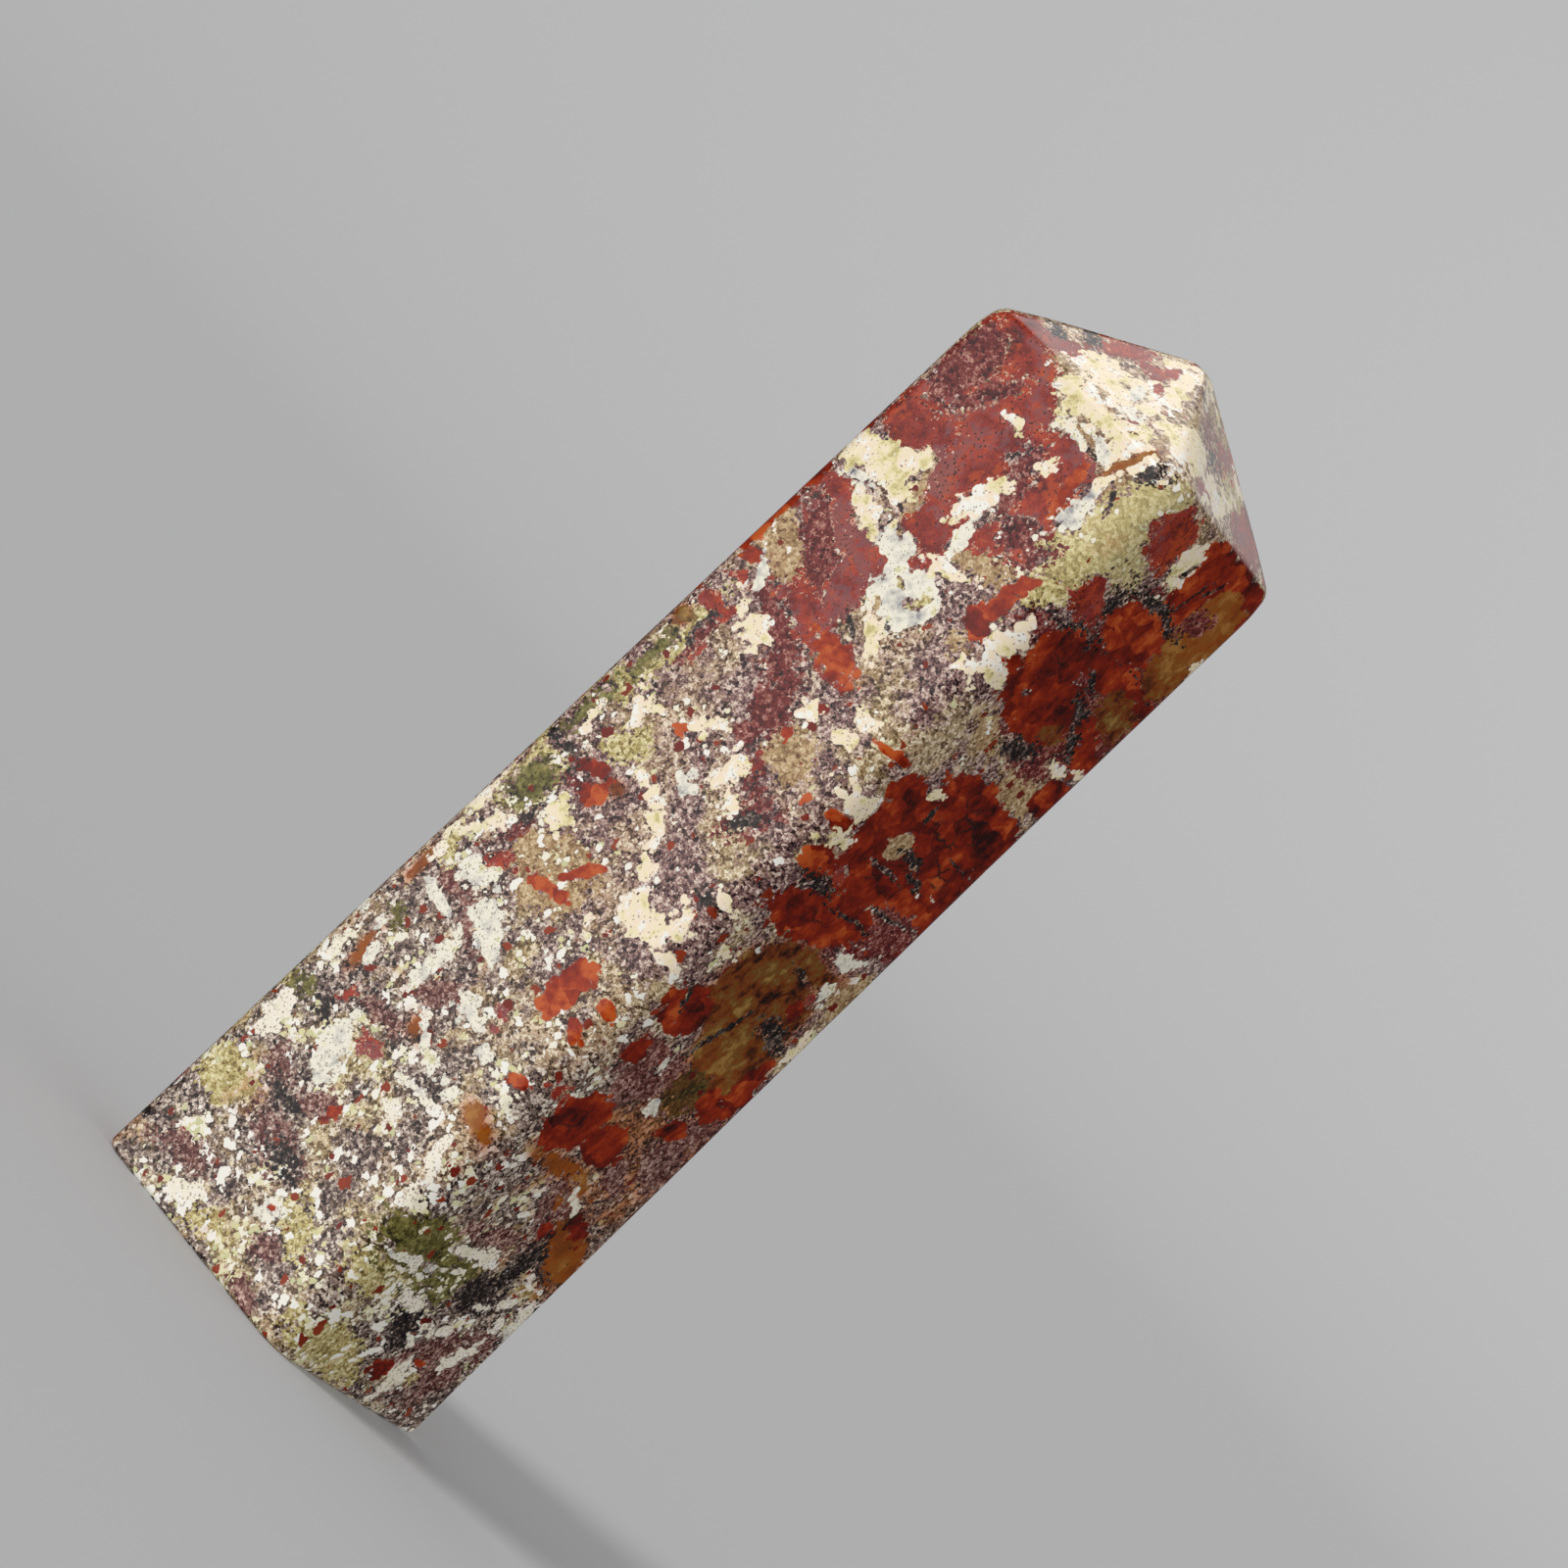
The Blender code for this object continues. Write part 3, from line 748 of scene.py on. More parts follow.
@dataclass(frozen=True)
class Markings:
    """Where each mineral lies on the stone, kept as mesh attributes.

    A field holds, in millimetres, how far inside its mineral a point is, and is below zero
    outside it. Later patches lie over earlier ones.
    """

    shape: TowerShape
    far_from_all: float = 4.0
    low_height: float = 36.0
    low_softness: float = 6.0
    rust_height: float = 27.0
    rust_reach: float = 12.0
    # Each wander is (wavelength, reach).
    wanders: tuple[tuple[float, float], ...] = ((4.2, 0.6), (2.0, 0.3), (1.0, 0.16))

    def wander(self, points: np.ndarray) -> np.ndarray:
        """Move points by noise, so that the patches' outlines wander as natural ones do."""
        moved = points.copy()
        for number, (wavelength, reach) in enumerate(self.wanders):
            for axis in range(3):
                noise = LatticeNoise(wavelength, 20 + 3 * number + axis)
                moved[:, axis] += reach * noise.sample(points)
        return moved

    def fields(self, points: np.ndarray) -> dict[Mineral, np.ndarray]:
        """Work out all minerals' fields: the largest depth of a mineral's own patches, and
        no more than how far outside the later patches of other minerals a point is.

        Args:
            points: Places in millimetres.

        Returns:
            One array for each mineral.
        """
        moved = self.wander(points)
        fields = {mineral: np.full(len(points), -self.far_from_all) for mineral in Mineral}
        far = HiddenFaces()
        layers = (
            (Face.FAR_RIGHT, far.patches(0)),
            (Face.FAR_LEFT, far.patches(1)),
            (Face.RIGHT, RIGHT_FACE),
            (Face.LEFT, LEFT_FACE),
        )
        for face, patches in layers:
            for patch in patches:
                depth = patch.depth_inside(face, self.shape, moved)
                for mineral, known in fields.items():
                    if mineral is patch.mineral:
                        np.maximum(known, depth, out=known)
                    else:
                        np.minimum(known, -depth, out=known)
        return {m: np.clip(f, -self.far_from_all, self.far_from_all) for m, f in fields.items()}

    def lowness(self, points: np.ndarray) -> np.ndarray:
        """Share that eases from 1 at the base to 0 high up, with its middle at low_height."""
        return 1 / (1 + np.exp((points[:, 2] - self.low_height) / self.low_softness))

    def flake_density(self, points: np.ndarray) -> np.ndarray:
        """Share of white lumps and flakes in the sand: many low down, few high up, unevenly."""
        patchy = LatticeNoise(6.0, 41).sample(points)
        return np.clip(0.04 + 0.26 * self.lowness(points) + 0.14 * patchy, 0, 1)

    def greenness(self, points: np.ndarray) -> np.ndarray:
        """Share of green in the beige sand: more low down, in patches of some millimetres."""
        patchy = LatticeNoise(5.0, 42).sample(points)
        return np.clip(0.1 + 0.4 * self.lowness(points) + 0.7 * patchy, 0, 1)

    def rustiness(self, points: np.ndarray) -> np.ndarray:
        """Share of rusty stain in the sand: most low on the right face, in a soft band."""
        band = np.exp(-(((points[:, 2] - self.rust_height) / self.rust_reach) ** 2))
        inner = 1 / (1 + np.exp(-(points[:, 1] + 3) / 2))
        outer = 1 / (1 + np.exp(-(points[:, 0] - 8) / 1.5))
        patchy = LatticeNoise(5.0, 43).sample(points)
        return np.clip(0.8 * band * inner * outer + 0.35 * patchy, 0, 1)

    def paint(self, tower: bpy.types.Object, points: np.ndarray) -> None:
        """Write the fields to the tower's mesh as vector attributes.

        Args:
            tower: The stone.
            points: Its points in millimetres.
        """
        groups = {name: np.zeros((len(points), 3)) for name in ATTRIBUTES}
        for mineral, values in self.fields(points).items():
            name, component = mineral.value
            groups[name][:, component] = values
        groups["moods"][:, 1] = self.flake_density(points)
        groups["moods"][:, 2] = self.greenness(points)
        groups["tints"][:, 0] = self.rustiness(points)
        for name, values in groups.items():
            layer = tower.data.attributes.new(name, "FLOAT_VECTOR", "POINT")
            layer.data.foreach_set("vector", values.astype(np.float32).ravel())


class Graph:
    """Short ways to add and link nodes in one node tree."""

    def __init__(self, tree: bpy.types.NodeTree) -> None:
        """Work on a node tree."""
        self.tree = tree

    def feed(self, socket: Socket, value: Value) -> None:
        """Link a socket to another, or set its plain value."""
        if isinstance(value, Socket):
            self.tree.links.new(value, socket)
        else:
            socket.default_value = value

    def add(
        self, kind: str, sockets: dict[Union[str, int], Value] | None = None, **settings: object
    ) -> bpy.types.Node:
        """Add a node.

        Args:
            kind: Blender's name of the node, without its ShaderNode start.
            sockets: What feeds its inputs, by name or number.
            **settings: Properties of the node.

        Returns:
            The node.
        """
        node = self.tree.nodes.new("ShaderNode" + kind)
        for name, setting in settings.items():
            setattr(node, name, setting)
        for key, value in (sockets or {}).items():
            self.feed(node.inputs[key], value)
        return node

    def math(self, operation: str, *values: Value) -> Socket:
        """One step of arithmetic on one to three values."""
        return self.add("Math", dict(enumerate(values)), operation=operation).outputs[0]

    def times(self, value: Value, by: Value, plus: Value | None = None) -> Socket:
        """One value times another, plus a third where there is one."""
        if plus is None:
            return self.math("MULTIPLY", value, by)
        return self.math("MULTIPLY_ADD", value, by, plus)

    def scale(self, vector: Value, by: Value) -> Socket:
        """A vector times a number."""
        sockets = {0: vector, "Scale": by}
        return self.add("VectorMath", sockets, operation="SCALE").outputs[0]

    def shrink(self, vector: Value, size: Value) -> Socket:
        """A vector divided by a size."""
        return self.scale(vector, self.math("DIVIDE", 1.0, size))

    def ease(self, value: Value, low: Value, high: Value) -> Socket:
        """Smooth step: 0 where value is at low, 1 where it is at high."""
        sockets = {"Value": value, "From Min": low, "From Max": high}
        node = self.add("MapRange", sockets, interpolation_type="SMOOTHSTEP")
        return node.outputs["Result"]

    def mix(self, share: Value, under: Value, over: Value) -> Socket:
        """Lay one colour over another by a share."""
        sockets = {0: share, 6: under, 7: over}
        return self.add("Mix", sockets, data_type="RGBA", clamp_factor=True).outputs[2]

    def noise(self, place: Value, size: float, detail: float, roughness: float = 0.55) -> Socket:
        """Cloudy noise round 0.5.

        Args:
            place: Place in millimetres.
            size: Size of the largest clouds in millimetres.
            detail: How many finer layers it has.
            roughness: How strong the finer layers are.

        Returns:
            The value's socket.
        """
        sockets = {"Vector": place, "Scale": 1 / size, "Detail": detail, "Roughness": roughness}
        return self.add("TexNoise", sockets).outputs["Fac"]

    def bend(self, place: Value, fineness: float, reach: float, detail: float) -> Socket:
        """Move a place by noise in all three directions, each from -reach/2 to reach/2."""
        sockets = {"Vector": place, "Scale": fineness, "Detail": detail}
        noise = self.add("TexNoise", sockets).outputs["Color"]
        centred = self.add("VectorMath", {0: noise, 1: (0.5,) * 3}, operation="SUBTRACT")
        sockets = {0: centred.outputs[0], 1: (reach,) * 3, 2: place}
        return self.add("VectorMath", sockets, operation="MULTIPLY_ADD").outputs[0]

    def blend(self, one: Value, other: Value, share: float) -> Socket:
        """Weighted mean of two values, with the given share for the other."""
        return self.times(other, share, self.times(one, 1 - share))

    def ramp(self, value: Value, stops: Palette) -> Socket:
        """Colour by value, from stops of (value, display colour)."""
        node = self.add("ValToRGB", {0: value})
        elements = node.color_ramp.elements
        elements[0].position, elements[0].color = stops[0][0], linear(stops[0][1])
        elements[1].position, elements[1].color = stops[-1][0], linear(stops[-1][1])
        for position, colour in stops[1:-1]:
            elements.new(position).color = linear(colour)
        return node.outputs["Color"]


class EffectGroup:
    """Base of the shared effects: a node group with named inputs and outputs, built once."""

    name = ""
    inputs: tuple[tuple[str, str], ...] = ()
    outputs: tuple[tuple[str, str], ...] = ()

    def __init__(self) -> None:
        """Make the group's sockets and fill it."""
        self.tree = bpy.data.node_groups.new(self.name, "ShaderNodeTree")
        for way, sockets in (("INPUT", self.inputs), ("OUTPUT", self.outputs)):
            for label, kind in sockets:
                self.tree.interface.new_socket(label, in_out=way, socket_type="NodeSocket" + kind)
        graph = Graph(self.tree)
        entry = graph.tree.nodes.new("NodeGroupInput")
        leave = graph.tree.nodes.new("NodeGroupOutput")
        given = {socket.name: socket for socket in entry.outputs if socket.name}
        for label, socket in self.wire(graph, given).items():
            self.tree.links.new(socket, leave.inputs[label])

    def wire(self, graph: Graph, given: Sockets) -> Sockets:
        """Fill the group. Each effect has its own way."""
        raise NotImplementedError

    def use(self, graph: Graph, **values: Value) -> bpy.types.Node:
        """Place the group in a material.

        Args:
            graph: The material's nodes.
            **values: What feeds the group's inputs, by their names in small letters.

        Returns:
            The group's node.
        """
        node = graph.tree.nodes.new("ShaderNodeGroup")
        node.node_tree = self.tree
        for label, value in values.items():
            graph.feed(node.inputs[label.capitalize()], value)
        return node


class Grains(EffectGroup):
    """Tightly packed irregular grains, each with random values of its own."""

    name = "grains"
    inputs = (("Place", "Vector"), ("Size", "Float"))
    outputs = (("Random", "Float"), ("Other", "Float"))

    def wire(self, graph: Graph, given: Sockets) -> Sockets:
        """Cells round scattered middles, in space that noise has bent by half a grain."""
        bent = graph.bend(graph.shrink(given["Place"], given["Size"]), 1.0, 1.3, 1.0)
        cells = graph.add("TexVoronoi", {"Vector": bent, "Scale": 1.0})
        parts = graph.add("SeparateColor", {0: cells.outputs["Color"]})
        return {"Random": parts.outputs[0], "Other": parts.outputs[1]}


class RaggedEdge(EffectGroup):
    """Turns a mineral's field into a mask whose edge noise makes ragged."""

    name = "ragged_edge"
    inputs = (("Field", "Float"), ("Push", "Float"), ("Soft", "Float"))
    outputs = (("Mask", "Float"),)

    def wire(self, graph: Graph, given: Sockets) -> Sockets:
        """Field plus push, both in millimetres, eased over the softness on both sides of 0."""
        pushed = graph.math("ADD", given["Field"], given["Push"])
        low = graph.times(given["Soft"], -1.0)
        return {"Mask": graph.ease(pushed, low, given["Soft"])}


class Lumps(EffectGroup):
    """Clusters of round-lobed lumps, with single ones round them."""

    name = "lumps"
    inputs = (("Place", "Vector"), ("Size", "Float"), ("Share", "Float"), ("Spread", "Float"))
    outputs = (("Mask", "Float"), ("Random", "Float"), ("Depth", "Float"))

    def wire(self, graph: Graph, given: Sockets) -> Sockets:
        """Each cell takes a cloud's value at its own middle, moved a little at random.

        Where it is over a limit that falls as the share grows, the cell has a lobe, whose
        radius grows with how far it is over. So lobes merge in the middle of a cluster.
        """
        bent = graph.bend(graph.shrink(given["Place"], given["Size"]), 1.2, 1.2, 2.0)
        cells = graph.add("TexVoronoi", {"Vector": bent, "Scale": 1.0})
        parts = graph.add("SeparateColor", {0: cells.outputs["Color"]})
        middle = graph.shrink(cells.outputs["Position"], given["Spread"])
        cloud = graph.noise(middle, 1.0, 2.0)
        moved = graph.times(parts.outputs[0], 0.2, cloud)
        limit = graph.times(given["Share"], -0.42, 0.8)
        over = graph.math("SUBTRACT", moved, limit)
        radius = graph.times(over, 5.0, 0.28)
        present = graph.math("GREATER_THAN", over, 0.0)
        inside = graph.math("SUBTRACT", radius, cells.outputs["Distance"])
        mask = graph.times(graph.ease(inside, -0.02, 0.05), present)
        return {"Mask": mask, "Random": parts.outputs[1], "Depth": inside}


class AgatePaint(Graph):
    """Nodes of the stone's colour, which is laid mineral by mineral over sand.

    Cloud, wide_cloud, fine_cloud and drift are noises round 0.5. Grain, dust, pebble and block
    come from cells of growing size. High, low, at_tip and left_side are shares of place.
    """

    def __init__(self, tree: bpy.types.NodeTree, finish: "PolishedAgate") -> None:
        """Set up what the minerals share.

        Args:
            tree: The material's nodes.
            finish: Sizes and colours.
        """
        super().__init__(tree)
        self.finish = finish
        self.ragged, self.lumps = RaggedEdge(), Lumps()
        self.place = place = self.scale(self.add("TexCoord").outputs["Object"], 1 / MM)
        parts = {}
        for name in ATTRIBUTES:
            attribute = self.add("Attribute", attribute_name=name)
            parts[name] = self.add("SeparateXYZ", {0: attribute.outputs["Vector"]}).outputs
        self.fields = {m: parts[m.value[0]][m.value[1]] for m in Mineral}
        _, self.density, self.green = parts["moods"]
        self.rust = parts["tints"][0]
        _, across, height = self.add("SeparateXYZ", {0: place}).outputs
        self.high = self.ease(height, *finish.high_span)
        self.low = self.ease(height, *finish.low_span)
        self.at_tip = self.ease(height, *finish.tip_span)
        self.left_side = self.ease(across, *finish.left_span)

        self.grain = Grains().use(self, place=place, size=finish.grain_size).outputs
        self.dust = self.cell_colours({"Vector": place, "Scale": 1 / finish.dust_size})
        self.speckle = self.blend(self.grain["Random"], self.dust[0], 0.4)
        self.cloud = self.noise(place, finish.cloud_size, 6.0, 0.62)
        self.wide_cloud = self.noise(place, finish.wide_cloud_size, 3.0)
        self.fine_cloud = self.noise(place, finish.fine_cloud_size, 3.0, 0.6)
        self.drift = self.noise(place, finish.drift_size, 2.0, 0.5)
        bent = self.bend(place, 0.9, 1.0, 2.0)
        pebbles = self.add("TexVoronoi", {"Vector": bent, "Scale": 1 / finish.pebble_size})
        self.pebble = self.math("SUBTRACT", 1.0, pebbles.outputs["Distance"])
        flattened = self.add("Mapping", {"Vector": bent, "Scale": finish.block_scale}).outputs[0]
        self.block_cells = {"Vector": flattened, "Scale": 1 / finish.crack_size}
        self.block = self.cell_colours(self.block_cells)[0]
        self.grainy_push = self.push(*finish.grainy_edge)
        self.smooth_push = self.push(*finish.smooth_edge)
        self.ash = self.spread_out(self.speckle, finish.ash, 1.15, self.cloud, 0.3)
        self.colour = self.ash

    def cell_colours(self, sockets: dict[str, Value]) -> bpy.types.bpy_prop_collection:
        """Three random values for each cell of a cell pattern."""
        cells = self.add("TexVoronoi", sockets)
        return self.add("SeparateColor", {0: cells.outputs["Color"]}).outputs

    def spread_out(
        self, value: Value, palette: Palette, spread: float, noise: Value, pull: float
    ) -> Socket:
        """Colour by a value that is spread round 0.5 and pulled by a noise.

        Args:
            value: Value round 0.5.
            palette: Colours by value.
            spread: How far apart the values are moved.
            noise: Noise round 0.5.
            pull: How strongly the noise moves them.

        Returns:
            The colour's socket.
        """
        around = self.times(self.math("SUBTRACT", value, 0.5), spread, 0.5)
        return self.ramp(self.times(self.math("SUBTRACT", noise, 0.5), pull, around), palette)

    def push(self, lobed: float, cloudy: float, grainy: float, out: float) -> Socket:
        """Millimetres by which an edge moves: by pebbles, clouds and grains, and outward."""
        off = self.times(self.cloud, cloudy, out - (lobed + cloudy + grainy) / 2)
        return self.times(self.grain["Other"], grainy, self.times(self.pebble, lobed, off))

    def mask(self, mineral: Mineral, pushed: Value, soft: float) -> Socket:
        """Where a mineral shows."""
        sockets = {"field": self.fields[mineral], "push": pushed, "soft": soft}
        return self.ragged.use(self, **sockets).outputs["Mask"]

    def drifting(self, mineral: Mineral, across: float, out: float) -> Socket:
        """Where a mineral with smooth lobed edges shows, moved by drift over a distance."""
        wandering = self.times(self.drift, across, -across / 2)
        wandering = self.math("ADD", wandering, self.push(*self.finish.lobed_edge, out))
        return self.mask(mineral, wandering, 0.05)

    def tint(self, under: Value, share: Value, colour: Colour) -> Socket:
        """A colour with a share of a display colour laid over it."""
        return self.mix(share, under, linear(colour))

    def lay(self, share: Value, over: Value) -> None:
        """Lay a colour over what the stone has so far."""
        self.colour = self.mix(share, self.colour, over)

    def sand(self) -> None:
        """Lay sand of two colours, greener in places, then tan, olive and moss bodies."""
        finish, cloud, speckle = self.finish, self.cloud, self.speckle
        warmth = self.times(self.grain["Other"], 0.12, self.times(cloud, 0.7, self.wide_cloud))
        warmth = self.times(self.at_tip, 0.2, warmth)
        mauve = self.spread_out(speckle, finish.mauve, 1.15, cloud, 0.3)
        mauve = self.mix(self.times(self.low, 0.6), mauve, self.ash)
        olive = self.spread_out(speckle, finish.olive, 0.9, cloud, 0.7)
        olive = self.tint(olive, self.times(self.high, 0.4), finish.straw)
        beige = self.spread_out(speckle, finish.beige, 1.15, cloud, 0.3)
        beige = self.mix(self.times(self.green, 0.75), beige, olive)
        self.colour = self.mix(self.ease(warmth, 0.86, 1.06), mauve, beige)
        tan = self.spread_out(speckle, finish.tan, 0.9, cloud, 0.6)
        self.lay(self.mask(TAN, self.grainy_push, 0.05), tan)
        self.lay(self.mask(OLIVE, self.grainy_push, 0.05), olive)
        moss_tone = self.blend(self.fine_cloud, speckle, 0.35)
        moss_mask = self.mask(MOSS, self.grainy_push, 0.15)
        self.lay(moss_mask, self.spread_out(moss_tone, finish.moss, 1.2, cloud, 0.9))
        self.density = self.times(self.density, self.times(moss_mask, -0.7, 1.0))

    def scattered(self) -> None:
        """Lay pale lumps with a ring of painted shade round each, slim flakes and red drops over
        the sand.
        """
        finish, place = self.finish, self.place
        sizes = {"place": place, "size": finish.lump_size, "share": self.density, "spread": 4.5}
        lump = self.lumps.use(self, **sizes).outputs
        # A dark ring just outside each lump is painted shade, which gives the lumps relief.
        rim = self.ease(lump["Depth"], -0.3, 0.0)
        self.lay(self.times(rim, 0.3), linear(finish.seam))
        self.lay(lump["Mask"], self.ramp(lump["Random"], finish.lump))

        along = self.add("VectorMath", {0: place, 1: finish.flake_way}, operation="DOT_PRODUCT")
        squeeze = self.times(along.outputs["Value"], finish.flake_squeeze)
        sockets = {0: self.scale(finish.flake_way, squeeze), 1: place}
        squeezed = self.add("VectorMath", sockets, operation="ADD").outputs[0]
        share = self.times(self.density, 1.1, -0.1)
        sizes = {"place": squeezed, "size": finish.flake_size, "share": share, "spread": 2.2}
        self.lay(self.lumps.use(self, **sizes).outputs["Mask"], linear(finish.lump[0][1]))

        sizes = {"place": place, "size": finish.drop_size, "share": 0.1, "spread": 1.3}
        drop = self.lumps.use(self, **sizes).outputs
        self.lay(drop["Mask"], self.ramp(drop["Random"], finish.drop))

    def rusted(self) -> None:
        """Stain the sand round amber bodies and in the rusty areas."""
        sockets = {0: 0.85, 6: self.colour, 7: linear(self.finish.stain)}
        stained = self.add("Mix", sockets, data_type="RGBA", blend_type="MULTIPLY")
        near_amber = self.ease(self.times(self.cloud, 2.4, self.fields[AMBER]), -0.2, 1.2)
        rusty = self.ease(self.times(self.cloud, 1.2, self.rust), 0.75, 1.2)
        self.lay(self.math("MAXIMUM", near_amber, rusty), stained.outputs[2])

    def amber(self) -> Socket:
        """Lay amber bodies, brown in the middle heights and like honey elsewhere.

        Returns:
            Where they show.
        """
        tone = self.blend(self.blend(self.cloud, self.fine_cloud, 0.25), self.block, 0.1)
        tone = self.times(self.high, 0.08, tone)
        amber = self.spread_out(tone, self.finish.amber, 2.1, self.wide_cloud, 0.6)
        honeyed = self.times(self.math("MAXIMUM", self.high, self.low), 0.4)
        shown = self.mask(AMBER, self.smooth_push, 0.2)
        self.lay(shown, self.tint(amber, honeyed, self.finish.honey))
        return shown

    def maroon(self) -> None:
        """Lay dark red sand, greyer low down."""
        maroon = self.spread_out(self.speckle, self.finish.maroon, 0.8, self.cloud, 0.9)
        maroon = self.mix(self.times(self.low, 0.35), maroon, self.ash)
        self.lay(self.mask(MAROON, self.grainy_push, 0.05), maroon)

    def brick(self) -> Socket:
        """Lay dull red bodies with violet and orange clouds, peach grains at the rim and dots.

        Returns:
            Where they show.
        """
        finish = self.finish
        tone = self.blend(self.blend(self.cloud, self.dust[0], 0.1), self.block, 0.1)
        brick = self.spread_out(tone, finish.brick, 1.5, self.wide_cloud, 0.9)
        clouds = self.blend(self.wide_cloud, self.fine_cloud, 0.4)
        rim = self.ease(self.fields[BRICK], 0.8, -0.2)
        peachy = self.math("LESS_THAN", self.speckle, self.times(rim, 0.28))
        dotted = self.math("GREATER_THAN", self.times(self.cloud, 0.5, self.dust[1]), 1.2)
        tints = (
            (self.ease(clouds, 0.5, 0.6), 0.65, finish.violet),
            (self.ease(clouds, 0.46, 0.38), 0.7, finish.orange),
            (peachy, 0.6, finish.peach),
            (dotted, 0.8, finish.black),
        )
        for share, strength, colour in tints:
            brick = self.tint(brick, self.times(share, strength), colour)
        shown = self.drifting(BRICK, 1.8, 0.25)
        self.lay(shown, brick)
        return shown

    def fire(self) -> Socket:
        """Lay glassy red bodies, built of blocks with dark cracks well inside them.

        Returns:
            Where they show.
        """
        tone = self.blend(self.blend(self.cloud, self.fine_cloud, 0.25), self.block, 0.17)
        tone = self.times(self.left_side, 0.07, self.times(self.high, 0.05, tone))
        fire = self.spread_out(tone, self.finish.fire, 2.0, self.wide_cloud, 0.7)
        gap = self.add("TexVoronoi", self.block_cells, feature="DISTANCE_TO_EDGE")
        gap_width = self.math("MAXIMUM", self.times(self.cloud, 0.8, -0.3), 0.002)
        closed = self.ease(gap.outputs["Distance"], 0.0, gap_width)
        crack = self.math("SUBTRACT", 1.0, closed)
        crack = self.times(crack, self.ease(self.fields[FIRE], 0.9, 1.9))
        crack = self.times(crack, self.math("SUBTRACT", 1.0, self.high))
        shown = self.mask(FIRE, self.smooth_push, 0.08)
        self.lay(shown, self.tint(fire, self.times(crack, 0.9), self.finish.black))
        return shown

    def smoke(self) -> None:
        """Lay black and grey veins."""
        tone = self.blend(self.cloud, self.speckle, 0.5)
        smoke = self.spread_out(tone, self.finish.smoke, 1.3, self.fine_cloud, 0.5)
        self.lay(self.mask(SMOKE, self.push(*self.finish.smoky_edge), 0.12), smoke)

    def pales(self) -> None:
        """Lay white and cream bodies with fine flecks, more of them low down."""
        finish = self.finish
        flecked = self.times(self.cloud, 0.4, self.dust[1])
        flecked = self.math("GREATER_THAN", flecked, self.times(self.low, -0.1, 1.16))
        share = self.times(flecked, 0.6)
        white = self.spread_out(self.cloud, finish.white, 1.7, self.fine_cloud, 0.8)
        self.lay(self.drifting(WHITE, -2.0, 0.0), self.tint(white, share, finish.ash[2][1]))
        tone = self.blend(self.cloud, self.block, 0.15)
        cream = self.spread_out(tone, finish.cream, 2.2, self.fine_cloud, 0.8)
        cream = self.tint(cream, self.times(self.low, 0.6), finish.lump[0][1])
        self.lay(self.drifting(CREAM, -2.0, 0.0), self.tint(cream, share, finish.beige[1][1]))


